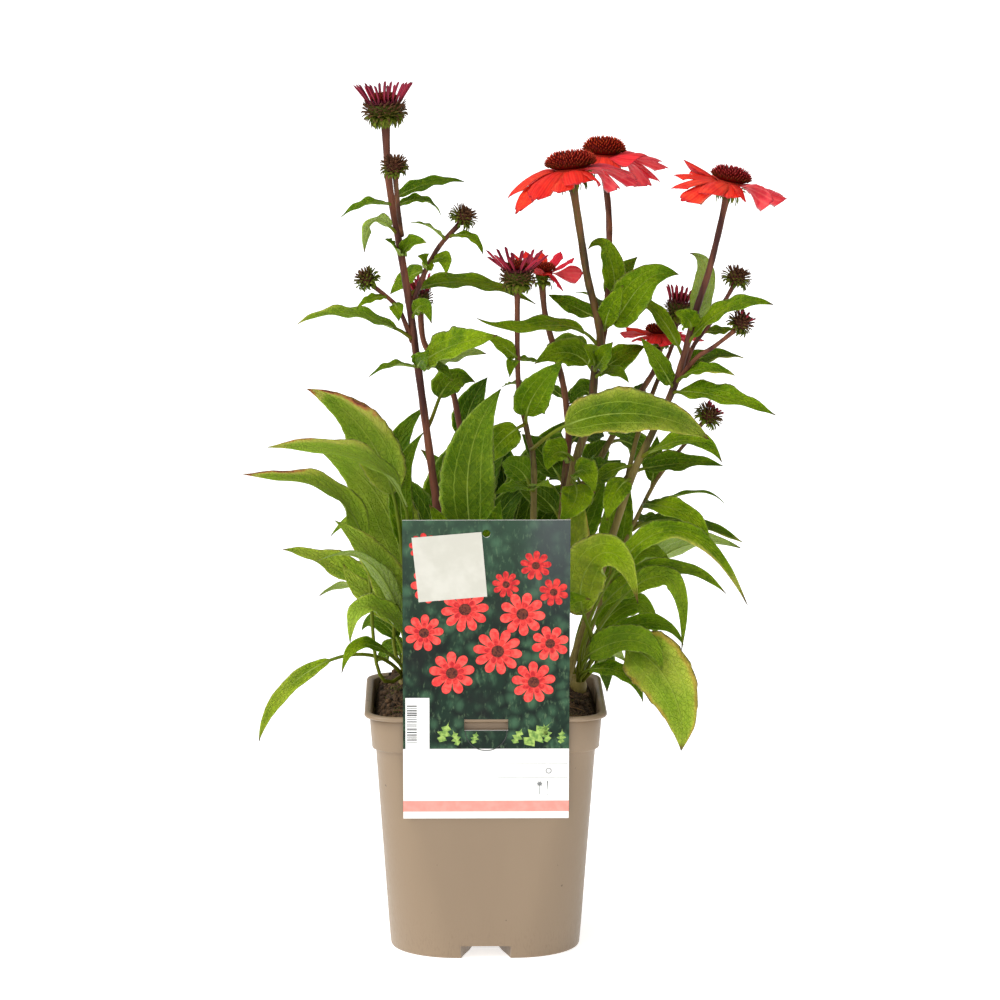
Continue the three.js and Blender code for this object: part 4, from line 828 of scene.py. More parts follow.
# ---------------------------------------------------------------- stems and leaves
# Eight hairy stems with lance-shaped leaves, and four crowns of large long-stalked leaves, stand
# in the root ball. Each is one piece of stem and stalks, and one of blades.
#
# Stems are round, solid and set with short stiff hairs. They are green where they leave the soil,
# paler and woody halfway, and purple-brown higher up. Side branches grow from inside a stem.
ROOT_DEPTH = 8
FOOT_RISE = 3  # how far a stem stands upright over the soil
STEM_FACETS = 14
STEM_KNOTS = 0.05  # how much thicker and thinner a stem is along it
STEM_FLARE = 0.35  # a stem widens by this share where it meets its head, over its last few steps
FLARE_STEPS = 4
RUDDY_RISE = 110  # over this height a stem turns purple-brown
HAIR_SPACING = 0.9
HAIR_LENGTH = 1.2
HAIR_RADIUS = 0.09
STEMS = {  # points from the soil up, radius at foot and top, branches, and the tone: from which
    # height on the stem turns purple-brown, and how much
    "stem_tall_left": ([
        (-16, -14), (-29, -15, 270), (-32, -15, 294), (-37, -16, 332), (-42, -17, 370),
        (-47, -18, 407), (-53, -19, 444), (-59, -20, 481), (-61, -20, 518),
    ], (2.6, 2.2), [
        ([(-51, -19, 447), (-53, -29, 463), (-55, -34, 486)], (1.4, 1.5), (0, 0.7)),
        ([(-44, -18, 407), (-37, -16, 424), (-28, -14, 440), (-16, -12, 453)], (1.7, 1.4), (0, 0.9)),
        ([(-45, -17, 381), (-52, -22, 400), (-58, -26, 408), (-69, -28, 417)], (1.6, 1.2), (0, 1.1)),
    ], (180, 1.0)),
    "stem_young_left": ([
        (-2, 22), (-9, 20, 276), (-17, 20, 332), (-21, 20, 347), (-30, 21, 363),
        (-38, 22, 377), (-40, 22, 397),
    ], (2.0, 1.8), [], (220, 0.9)),
    "stem_front": ([
        (26, -26), (30, -22, 273), (30, -20, 307), (27, -20, 321), (25, -20, 331),
        (21, -20, 352), (20, -21, 379), (20, -22, 415),
    ], (2.0, 1.6), [], (270, 0.9)),
    "stem_centre_back": ([
        (42, 30), (50, 22, 282), (53, 20, 314), (51, 20, 340), (48, 18, 356), (43, 15, 375),
        (38, 12, 394), (36, 10, 413),
    ], (2.3, 1.8), [], (220, 0.8)),
    "stem_centre": ([
        (34, 2), (53, 0, 286), (58, 0, 308), (66, 0, 333), (69, 0, 365), (72, -1, 380),
        (69, -3, 399), (64, -6, 418), (59, -11, 448), (54, -14, 479.5),
    ], (2.8, 2.3), [
        ([(73, 0, 377), (77, 16, 402), (79, 44, 434), (79, 63, 457), (76, 71, 480.5)],
         (2.1, 2.0), (0, 0.75)),
    ], (240, 0.5)),
    "stem_right": ([
        (50, -12), (65, -4, 208), (79, -6, 255), (92, -8, 296), (103, -9, 320), (116, -10, 348),
        (123, -11, 369), (131, -12, 400), (138, -12, 422), (144, -12, 446), (149.5, -12, 471.5),
    ], (2.6, 1.9), [
        ([(123, -10, 361), (130, -4, 377), (142, 2, 392), (151, 5, 406), (155, 6, 413)],
         (1.5, 1.3), (0, 0.9)),
        ([(120, -11, 356), (131, -19, 371), (142, -24, 379), (154, -27, 389)], (1.5, 1.3), (0, 0.95)),
        ([(86, -6, 279), (95, 12, 315), (108, 32, 347), (119, 44, 371), (122, 47, 387)],
         (1.6, 1.3), (280, 0.8)),
    ], (280, 0.85)),
    "stem_right_back": ([
        (30, 46), (59, 34, 273), (73, 32, 300), (86, 30, 324), (101, 25, 348), (108, 20, 361),
        (110, 18, 373),
    ], (2.2, 1.7), [], (260, 0.75)),
    "stem_low_right": ([
        (58, 34), (77, 30, 217), (88, 26, 246), (104, 16, 282), (113, 12, 297), (127, 9, 315),
        (137, 9, 327),
    ], (1.5, 1.15), [], (240, 0.8)),
}


def draw(first, second):
    """A repeatable draw from 0 to 1 for two whole numbers."""
    spread = math.sin(first * 12.9898 + second * 78.233) * 43758.5453
    return spread - math.floor(spread)


def ranging(least, more, first, second):
    """A repeatable draw from a least value up to so much more."""
    return least + more * draw(first, second)


def stem_points(path):
    """A stem's points. Its first one stands upright in the soil."""
    x, y = path[0]
    ground = soil_top(x, y)
    upright = [Vector((x, y, ground + rise)) for rise in (-ROOT_DEPTH, FOOT_RISE)]
    return upright + [Vector(place) for place in path[1:]]


def on_stem(points, height):
    """The point of a stem or branch at a height."""
    step = len(points) - 2
    for i, (low, high) in enumerate(zip(points, points[1:])):
        if high.z > height:
            step = i
            break
    low, high = points[step], points[step + 1]
    return low.lerp(high, (height - low.z) / (high.z - low.z))


def flowing(points, steps=5):
    """A smooth path through points, each stretch drawn in a few steps."""
    path = []
    for i in range(len(points) - 1):
        before, start = points[max(i - 1, 0)], points[i]
        end, after = points[i + 1], points[min(i + 2, len(points) - 1)]
        for step in range(steps):
            t = step / steps
            path.append(0.5 * (
                2 * start + (end - before) * t + (2 * before - 5 * start + 4 * end - after) * t ** 2
                + (3 * start - before - 3 * end + after) * t ** 3
            ))
    path.append(points[-1])
    return path


def ruddy_at(height, tone):
    """How purple-brown a stem is at a height."""
    start, ruddy = tone
    share = min(max((height - start) / RUDDY_RISE, 0), 1)
    return ruddy * (0.2 + 0.8 * share * share * (3 - 2 * share))


def add_stem(form, points, foot, top, tone, seed):
    """A hairy stem through points."""
    path = flowing(points)
    last = len(path) - 1
    radii = []
    for i in range(last + 1):
        flare = STEM_FLARE * max(1 - (last - i) / FLARE_STEPS, 0) ** 2
        knots = STEM_KNOTS * math.sin(i * 1.9 + seed)
        radii.append((foot + (top - foot) * i / last) * (1 + knots + flare))
    rows = len(form.points)
    add_tube(form, path, radii, STEM_FACETS)
    for k in range(rows, len(form.points)):
        height = (form.points[k].z - POT_AXIS.z) / MILLIMETRE
        form.marks["ruddy"][k] = ruddy_at(height, tone)
    hair = random.Random(seed)
    for i in range(last):
        start, end = path[i], path[i + 1]
        if start.z < SOIL_EDGE + SOIL_RISE:
            continue
        axis = (end - start).normalized()
        first = axis.orthogonal().normalized()
        second = axis.cross(first)
        for _ in range(round((end - start).length / HAIR_SPACING)):
            foot_at = start.lerp(end, hair.random())
            angle = hair.uniform(0, 2 * math.pi)
            out = first * math.cos(angle) + second * math.sin(angle)
            base = foot_at + out * radii[i] * 0.9
            tip = base + (out + axis * hair.uniform(-0.1, 0.5)) * HAIR_LENGTH * hair.uniform(0.5, 1)
            add_spike(form, base, tip, HAIR_RADIUS, ruddy=ruddy_at(foot_at.z, tone))


stalk_finish, tree, shader = finish_of("stem_skin", specular_ior_level=0.2)
patches, grain = mottled(tree, 7, 0.8, 6.0)
ruddy_tone = blend(tree, eased(tree, patches, 0.35, 0.65), colour(62, 28, 24), colour(116, 68, 48))
green_tone = blend(tree, eased(tree, patches, 0.35, 0.65), colour(44, 50, 6), colour(82, 82, 20))
woody_tone = blend(tree, patches, colour(104, 88, 42), colour(156, 138, 78))
share = plus(tree, mark_of(tree, "ruddy"), eased(tree, grain, 0.3, 0.7, -0.2, 0.2))
woody = times(tree, eased(tree, height_of(tree), 0.36, 0.27, high=0.75), eased(tree, share, 0.75, 0.15))
base = washed(tree, green_tone, (eased(tree, share, 0.0, 0.95), ruddy_tone), (woody, woody_tone))
wear(tree, shader, grain, base, (0.45, 0.62), (grain, 0.35))

# A blade is thin, folded along its midrib and waved at its margin. Three pale main veins run from
# its base to its tip, and a raised rib runs under it.
LEAF_THICK = 0.6
MARGIN_THINNING = 0.6  # the share of its thickness that a blade loses towards its margin
LEAF_FOLD = 0.3  # how far each half is folded up, in radians
FOLDED_WIDTH = 20  # narrower leaves are folded less
NARROW_FOLD = 0.8
LEAF_WAVE = 0.1495
LEAF_WAVES = (2.2, 1.6)  # the fewest waves along a margin, and how many more there can be
WAVE_START = 6.3  # they start anywhere in this range, in radians
OTHER_MARGIN = 2.1  # how far they are out of step at the other margin
LEAF_ROLL = 0.5
LEAF_CURL = (0.05, 0.12)  # the least by which a tip curls down, in widths, and how much more
CURL_START = 0.72  # how far along the blade
CURL_BEND = 8
QUILTING = 0.012  # how high the blade puffs up between its veins, in widths
LEAF_START = 0.8  # how far out from its stem's axis
BLADE_ROWS = ((24, 40), (FOLDED_WIDTH, 32), (0, 24))  # from which width on, how many rows
BLADE_COLUMNS = 12
TOOTH_SPACING = 7.5
TOOTH_DEPTH = 0.06
FEWEST_TEETH = 4
PETIOLE_HALF = 1.05
PETIOLE_STEPS = 21
PETIOLE_FACETS = 8
RIB_REACH = 0.86  # how far along the blade its rib runs
RIB_THINNING = 0.86
CROWN_FACETS = 20
CROWN_HEIGHT = 9
CROWN_STUB = ((-ROOT_DEPTH, 5.5), (0, 6.2), (3, 6.5), (6, 5.6), (CROWN_HEIGHT, 3.9))  # height, radius
CROWN_START = 4.2
CROWN_SPREAD = 1.2 * math.pi
CROWNS = {"clump_left": (-48, 6), "clump_front": (6, -44), "clump_right": (58, 5), "clump_back": (-14, 48)}
# Where each leaf of a stem starts (branch and height), the points that its midrib passes up to
# the tip, its width, the way its face looks (0 up, 90 to the front, minus to the back), and the
# share of its length that is stalk. A crown's leaves all start from the crown.
LEAVES = {
    "stem_tall_left": [
        (0, 466, [(-70, -30, 469), (-89, -34, 460)], 12, 18, 0.08),
        (0, 464, [(-37, -14, 469), (-26, -8, 459)], 12, 20, 0.08),
        (0, 469, [(-37, -8, 478), (-12, 4, 479)], 13, 28, 0.06),
        (0, 448, [(-69, -34, 458), (-74, -40, 439)], 13, -35, 0.1),
        (0, 434, [(-42, -34, 445), (-36, -38, 445)], 13, 55, 0.06),
        (0, 434, [(-56, -30, 443), (-61, -36, 447)], 10, 40, 0.06),
        (0, 410, [(-28, -8, 417), (3, 2, 414), (33, 6, 403)], 18, 28, 0.1),
        (2, 444, [(-33, -20, 453), (-46, -24, 456)], 7, 14, 0.08),
        (2, 446, [(-8, -20, 446), (-1, -24, 436)], 9, 24, 0.08),
        (2, 427, [(-37, -26, 433), (-41, -30, 436)], 11, 60, 0.06),
        (2, 430, [(-25, -26, 433), (-24, -30, 424)], 11, 50, 0.06),
        (2, 425, [(-47, -2, 420), (-59, 6, 408)], 13, 58, 0.08),
        (3, 410, [(-70, -36, 410), (-79, -40, 405)], 8, 34, 0.06),
        (3, 406, [(-54, -34, 403), (-53, -36, 396)], 9, 60, 0.06),
        (0, 382, [(-63, -28, 395), (-95, -40, 402), (-116, -44, 396)], 18, 24, 0.16),
        (0, 395, [(-38, -30, 405), (-33, -38, 395)], 11, 60, 0.08),
        (0, 365, [(-54, -28, 369), (-72, -36, 362)], 11, 10, 0.06),
        (0, 365, [(-30, -30, 368), (-20, -40, 360)], 11, 18, 0.06),
        (0, 365, [(-39, -30, 373), (-35, -34, 379)], 13, 75, 0.1),
        (0, 365, [(-29, -36, 378), (-10, -58, 387), (7, -64, 391)], 24, 58, 0.1),
        (0, 363, [(-24, -2, 370), (1, 6, 372)], 19, -55, 0.12),
        (0, 326, [(-28, 0, 344), (-19, 14, 354), (-5, 22, 351)], 20, 52, 0.4),
    ],
    "stem_front": [
        (0, 371, [(11, -30, 380), (0, -36, 387)], 11, 62, 0.06),
        (0, 371, [(28, -10, 369), (35, -4, 367)], 9, 28, 0.1),
        (0, 369, [(16, -36, 369), (15, -42, 362)], 8, 40, 0.1),
        (0, 354, [(17, -4, 354), (10, 4, 350)], 8, 14, 0.1),
        (0, 330, [(29, -40, 349), (47, -52, 373)], 23, 78, 0.14),
        (0, 330, [(12, -30, 323), (-1, -36, 305)], 20, 62, 0.14),
        (0, 288, [(19, -40, 294), (5, -50, 291)], 13, 28, 0.12),
        (0, 288, [(34, -42, 296), (41, -54, 295)], 12, 30, 0.12),
        (0, 314, [(35, -44, 323), (50, -64, 336), (93, -86, 346), (135, -96, 332)], 32, 56, 0.34),
        (0, 283, [(22, -4, 299), (10, 10, 302)], 20, 70, 0.3),
    ],
    "stem_centre_back": [
        (0, 340, [(43, 28, 346), (38, 34, 350)], 8, 40, 0.1),
        (0, 338, [(63, 34, 347), (68, 40, 350)], 9, 30, 0.1),
        (0, 314, [(43, 40, 304), (33, 52, 290)], 22, 60, 0.15),
        (0, 309, [(64, 42, 316), (78, 58, 311)], 20, 60, 0.15),
    ],
    "stem_centre": [
        (0, 376, [(43, -14, 392), (19, -26, 392), (-4, -32, 400)], 18, 30, 0.12),
        (0, 359, [(55, 12, 371), (31, 22, 364)], 20, 62, 0.12),
        (0, 360, [(48, 30, 375), (39, 38, 372)], 17, 50, 0.3),
        (0, 343, [(61, 20, 346), (53, 30, 337)], 16, 66, 0.12),
        (0, 394, [(56, 8, 400), (40, 14, 407)], 13, 50, 0.08),
        (1, 392, [(69, 26, 404), (57, 32, 407)], 8, -20, 0.1),
        (1, 404, [(79, 4, 428), (70, -2, 441), (64, -6, 438)], 15, 50, 0.14),
        (1, 401, [(85, 24, 417), (96, 28, 429)], 15, 62, 0.1),
        (1, 386, [(88, -8, 404), (103, -14, 421), (120, -16, 423)], 26, 60, 0.12),
        (1, 384, [(79, -12, 404), (85, -20, 416)], 14, 74, 0.12),
        (0, 357, [(86, 14, 368), (101, 22, 374)], 18, 62, 0.12),
        (0, 356, [(81, -16, 362), (89, -24, 357)], 12, 40, 0.14),
        (0, 360, [(65, -20, 375), (61, -28, 380)], 14, 62, 0.2),
        (0, 360, [(75, -24, 377), (78, -30, 383)], 14, 66, 0.2),
        (0, 337, [(79, 20, 327), (91, 30, 313)], 18, 58, 0.2),
        (0, 308, [(73, 20, 295), (87, 36, 300)], 20, 62, 0.2),
        (0, 303, [(44, -18, 312), (38, -30, 303)], 20, 62, 0.2),
        (0, 289, [(62, -22, 301), (68, -34, 289)], 18, 62, 0.2),
        (0, 293, [(54, -34, 281), (46, -46, 274)], 22, 74, 0.16),
    ],
    "stem_right": [
        (0, 370, [(112, -4, 391), (97, -7, 405), (76, -12, 405)], 12, 34, 0.1),
        (0, 387, [(137, 6, 414), (133, 14, 431), (128, 14, 433)], 15, -64, 0.2),
        (0, 387, [(124, -26, 397), (117, -32, 401)], 15, 74, 0.1),
        (0, 378, [(141, -24, 398), (158, -34, 407), (177, -38, 407)], 18, 34, 0.1),
        (1, 385, [(144, 4, 385), (156, 10, 386)], 10, 34, 0.1),
        (0, 361, [(138, 6, 369), (163, 16, 367)], 14, 34, 0.12),
        (0, 354, [(135, -24, 365), (154, -32, 362)], 12, 34, 0.12),
        (0, 348, [(134, -26, 351), (157, -40, 347), (179, -46, 340)], 20, 34, 0.06),
        (0, 351, [(107, -24, 369), (96, -32, 385)], 13, 62, 0.06),
        (0, 298, [(113, 10, 302), (149, 22, 302)], 20, 32, 0.12),
        (0, 302, [(72, 12, 294), (59, 24, 278)], 13, 34, 0.12),
        (0, 294, [(81, -26, 288), (75, -36, 272)], 16, 64, 0.1),
        (0, 307, [(118, -30, 321), (132, -40, 322), (146, -46, 310)], 18, 32, 0.14),
        (0, 256, [(71, -30, 252), (63, -44, 261)], 13, 60, 0.2),
    ],
    "stem_right_back": [
        (0, 335, [(99, 44, 343), (102, 50, 347)], 11, 60, 0.1),
        (0, 311, [(94, 48, 308), (107, 58, 289)], 20, 60, 0.2),
        (0, 290, [(73, 52, 303), (81, 60, 308)], 18, 66, 0.2),
        (0, 280, [(52, 54, 290), (41, 64, 282)], 18, 62, 0.2),
    ],
    "stem_low_right": [
        (0, 284, [(107, 20, 300), (109, 26, 316)], 12, 66, 0.1),
        (0, 276, [(112, 0, 280), (139, -8, 285), (150, -10, 278)], 7, 8, 0.06),
        (0, 273, [(114, -8, 277), (129, -18, 271), (138, -24, 253)], 16, 44, 0.1),
        (0, 256, [(112, 20, 264), (139, 26, 259), (164, 30, 248)], 16, 28, 0.1),
        (0, 260, [(106, 34, 261), (124, 48, 256)], 18, 24, 0.14),
    ],
    "clump_left": [
        ([(-54, -6, 268), (-68, -16, 315), (-109, -32, 354)], 30, 62, 0.56),
        ([(-50, -24, 283), (-71, -46, 312), (-99, -56, 321), (-133, -64, 323)], 22, 30, 0.5),
        ([(-76, -20, 259), (-100, -36, 295), (-120, -46, 301), (-149, -50, 305)], 22, 34, 0.48),
        ([(-52, 4, 241), (-69, 4, 285), (-102, 6, 309)], 36, 66, 0.42),
        ([(-57, -22, 225), (-74, -34, 255), (-92, -40, 273)], 24, 58, 0.3),
        ([(-58, 12, 208), (-87, 20, 232), (-127, 26, 245)], 24, 32, 0.4),
        ([(-60, -36, 231), (-77, -50, 252), (-105, -60, 251)], 14, -34, 0.4),
        ([(-62, 22, 212), (-81, 34, 219), (-105, 44, 212)], 14, -30, 0.4),
        ([(-59, -12, 212), (-78, -18, 226), (-88, -22, 241)], 20, 62, 0.3),
        ([(-59, -34, 214), (-74, -44, 221), (-84, -52, 200)], 20, 40, 0.42),
        ([(-58, 20, 192), (-70, 30, 198), (-78, 36, 190)], 14, 52, 0.4),
        ([(-58, 30, 179), (-69, 40, 169)], 18, 60, 0.3),
        ([(-87, -18, 184), (-120, -26, 168), (-141, -30, 132)], 11, 52, 0.44),
        ([(-62, -30, 189), (-78, -44, 196), (-89, -50, 179)], 11, 40, 0.45),
        ([(-53, 18, 251), (-58, 22, 296), (-37, 26, 335)], 22, 62, 0.5),
        ([(-47, -2, 242), (-52, -2, 292), (-38, -2, 323)], 16, 66, 0.5),
        ([(-58, 34, 236), (-75, 44, 260), (-98, 54, 248)], 18, 46, 0.42),
    ],
    "clump_front": [
        ([(-2, -46, 229), (-11, -50, 286), (9, -54, 357)], 36, 74, 0.5),
        ([(-15, -52, 224), (-26, -58, 269), (-34, -62, 286)], 26, 66, 0.45),
        ([(21, -54, 230), (33, -60, 251), (38, -66, 271)], 24, 70, 0.5),
        ([(-10, -56, 200), (-28, -64, 227), (-44, -70, 238)], 26, 54, 0.4),
        ([(27, -54, 200), (39, -64, 221), (64, -74, 229)], 24, 50, 0.4),
        ([(-2, -54, 212), (0, -64, 252), (9, -72, 290)], 26, 76, 0.44),
    ],
    "clump_right": [
        ([(69, -16, 192), (60, -40, 236), (68, -50, 252), (93, -66, 225)], 31, 62, 0.42),
        ([(66, -18, 194), (57, -31, 230), (56, -36, 257), (61, -38, 283)], 28, 72, 0.42),
        ([(96, -40, 190), (105, -50, 184), (121, -56, 130)], 38, 76, 0.36),
        ([(84, 6, 193), (104, 8, 200), (126, 10, 185)], 15, 44, 0.3),
        ([(84, -24, 197), (99, -32, 197), (109, -36, 182)], 22, 58, 0.3),
        ([(76, -30, 178), (88, -40, 175), (98, -44, 159)], 13, 46, 0.3),
        ([(77, 30, 197), (93, 42, 206), (111, 50, 179)], 18, 58, 0.36),
        ([(80, 8, 208), (106, 14, 228), (125, 20, 180)], 16, 54, 0.42),
        ([(73, 22, 205), (98, 24, 227), (154, 24, 215)], 17, 36, 0.36),
        ([(70, -22, 220), (102, -34, 264), (162, -38, 222)], 17, 44, 0.42),
        ([(75, 46, 191), (100, 66, 223), (166, 84, 237)], 30, -46, 0.4),
        ([(75, 56, 172), (80, 82, 140)], 18, 62, 0.3),
        ([(78, 40, 176), (90, 56, 168)], 16, -60, 0.3),
        ([(71, 40, 215), (100, 56, 239), (121, 66, 229)], 22, 50, 0.46),
    ],
    "clump_back": [
        ([(-34, 52, 232), (-46, 58, 272), (-72, 62, 287)], 24, 56, 0.42),
        ([(-26, 54, 236), (-22, 60, 290), (-4, 64, 312)], 27, 62, 0.42),
        ([(-16, 56, 230), (-22, 62, 276), (-40, 66, 300)], 26, 58, 0.42),
        ([(-8, 56, 240), (4, 62, 296), (24, 66, 314)], 28, 60, 0.4),
        ([(0, 58, 226), (10, 62, 262), (30, 66, 282)], 27, 60, 0.4),
        ([(6, 56, 238), (10, 62, 298), (-4, 66, 318)], 26, 64, 0.42),
        ([(16, 54, 236), (34, 60, 298), (54, 64, 322)], 27, 62, 0.42),
        ([(22, 52, 228), (44, 58, 266), (74, 62, 280)], 26, 58, 0.4),
    ],
}
# Low leaves at the back, fanned out evenly: their reach and height are draws in a range.
LOW_BACK_LEAVES = 7
LOW_BACK_REACH = (62, 22)
LOW_BACK_HEIGHT = (205, 45)
for i in range(LOW_BACK_LEAVES):
    turn = math.radians(20 + 140 * i / (LOW_BACK_LEAVES - 1))
    reach = ranging(*LOW_BACK_REACH, i, 1)
    height = ranging(*LOW_BACK_HEIGHT, i, 2)
    x, y = CROWNS["clump_back"]
    middle, tip = (
        (x + reach * share * math.cos(turn), y + reach * share * math.sin(turn), height * rise)
        for share, rise in ((0.4, 0.88), (1, 1))
    )
    LEAVES["clump_back"].append(([middle, tip], 17, -50, 0.25))

# Leaves that grow between the stems and close the gaps there.
INNER_LEAVES = {
    "stem_young_left": [(0, 305, [(-10, 32, 330), (2, 38, 352)], 20, 55, 0.2)],
    "stem_centre_back": [
        (0, 285, [(40, 34, 300), (24, 42, 315)], 22, 60, 0.15),
        (0, 262, [(34, 36, 278), (18, 42, 284)], 20, 55, 0.15),
    ],
    "stem_right_back": [(0, 235, [(62, 28, 262), (76, 22, 289)], 24, 66, 0.15)],
    "stem_low_right": [(0, 225, [(83, 24, 256), (90, 20, 293)], 22, 68, 0.15)],
}
for name, inner in INNER_LEAVES.items():
    LEAVES[name] = LEAVES.get(name, []) + inner

# Leaves by their numbers on a stem or crown: how far one margin and the tip of a leaf that has
# begun to turn are burnt, how yellow the leaf is, and how much darker it is painted than its place
# alone makes it, or paler, as painted light, where the number is below 0.
BURNT = {
    "stem_tall_left": {4: 0.25, 14: 0.3}, "stem_right": {5: 0.5, 6: 0.4}, "stem_low_right": {3: 0.45},
    "clump_left": {0: 1.0, 1: 0.6, 2: 0.85}, "clump_right": {1: 0.25, 9: 0.5},
}
YELLOWED = {
    "stem_front": {8: 0.5}, "clump_front": {0: 0.1}, "clump_right": {0: 0.4, 1: 0.6, 2: 0.8, 10: 0.3},
    "clump_left": {
        0: 0.4, 2: 0.25, 3: 0.35, 4: 0.45, 5: 0.4, 7: 0.4, 8: 0.4, 9: 0.3, 12: 0.4, 16: 0.3,
    },
}
DARKNESS_SHIFTS = {
    "stem_tall_left": {14: -0.4}, "stem_front": {8: 0.35}, "clump_front": {0: 0.4},
    "clump_left": {
        0: -0.6, 1: -0.75, 2: -0.6, 3: -0.9, 4: -1.2, 5: -1.2, 8: -1.2, 9: -0.9, 12: -0.5, 16: -1.0,
    },
    "clump_right": {2: -0.6, 3: -0.4, 4: -0.4, 5: -0.3, 6: -0.4, 7: -0.7, 8: -0.7, 10: -0.5, 13: -0.9},
}

# A leaf that would have touched another stands a little further back, forward, up or down.
LEAF_SHIFTS = [
    (push, rise) for rise in (0, 5, -5, 10)
    for push in (0, 4, -4, 8, -8, 12, -12, 17, -17, 22, -22, 28, -28)
]
TIP_REACH = 0.8 * MILLIMETRE
TIP_CORNERS = 3

# A leaf is painted in shade over this depth towards the back and over this height downwards.
BACK_FROM, BACK_REACH = -10, 70
LOW_FROM, LOW_REACH = 300, 200
SHADE_AND_TONE = (0.7, 0.2, 0.3)  # by its depth, by its height and by chance


def shade_and_tone_of(name, i, passes):
    """How dark a leaf is painted: in shade far back and low down, and darker in tone for some by chance."""
    _, y, z = passes[-1]
    back = min(max((y - BACK_FROM) / BACK_REACH, 0), 1)
    low = min(max((LOW_FROM - z) / LOW_REACH, 0), 1)
    by_back, by_low, by_chance = SHADE_AND_TONE
    return (by_back * back + by_low * low * draw(i, len(name))
            + by_chance * draw(i, len(name) + 1) ** 3)


def curve_through(points):
    """A smooth curve through a few points, by their distances along it (Lagrange's formula)."""
    marks = [0]
    for before, after in zip(points, points[1:]):
        marks.append(marks[-1] + (after - before).length)

    def at(share):
        t = share * marks[-1]
        place = Vector((0, 0, 0))
        for i, point in enumerate(points):
            weight = 1
            for j, mark in enumerate(marks):
                if j != i:
                    weight *= (t - mark) / (marks[i] - mark)
            place += point * weight
        return place
    return at


def crown_turns(name):
    """Where the leaves of a crown start round it: evenly spread, in the order of their directions."""
    x, y = CROWNS[name]
    aims = [(passes[0][0] - x, passes[0][1] - y) for passes, *_ in LEAVES[name]]
    main = math.atan2(sum(aim[1] for aim in aims), sum(aim[0] for aim in aims))
    off = []
    for dx, dy in aims:
        turn = math.atan2(dy, dx) - main
        off.append(math.atan2(math.sin(turn), math.cos(turn)))
    order = sorted(range(len(off)), key=lambda i: off[i])
    return [main + ((order.index(i) + 0.5) / len(off) - 0.5) * CROWN_SPREAD for i in range(len(off))]


def corners_of(node):
    """The corners of a solid, for looking up which lie near a place."""
    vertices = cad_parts[node].data.vertices
    tree = kdtree.KDTree(len(vertices))
    for i, vertex in enumerate(vertices):
        tree.insert(vertex.co, i)
    tree.balance()
    return tree


def shift_of(corners, tip):
    """How far a leaf's tip has been moved, from the solid's corners that lie about it."""
    for push, rise in LEAF_SHIFTS:
        place = to_frame(tip + Vector((0, push, rise)))
        if len(corners.find_range(place, TIP_REACH)) >= TIP_CORNERS:
            return push, rise
    return 0, 0


def blade_shape(u):
    """Width of a blade along its length. The first number brings it to 1 at its widest."""
    return 2.74 * u ** 0.55 * (1 - u)


def add_blade(form, rows, columns, section, coat=0, **marks):
    """A thin closed blade: an upper and an under skin that share their margin.

    section(u) gives the cross-section at a share of the length, and that, for v from -1 to 1
    across, the place in the blade's middle and half its thickness as a vector."""
    upper, under = {}, {}
    for i in range(rows + 1):
        across = section(i / rows)
        for j in range(columns + 1):
            v = 2 * j / columns - 1
            place, lift = across(v)
            values = {**marks, "along": i / rows, "across": v}
            if i in (0, rows) or j in (0, columns):
                upper[i, j] = under[i, j] = form.point(place, under=0.5, **values)
            else:
                upper[i, j] = form.point(place + lift, under=0, **values)
                under[i, j] = form.point(place - lift, under=1, **values)
    for i in range(rows):
        for j in range(columns):
            form.face(upper[i, j], upper[i + 1, j], upper[i + 1, j + 1], upper[i, j + 1], coat=coat)
            form.face(under[i, j], under[i, j + 1], under[i + 1, j + 1], under[i + 1, j], coat=coat)


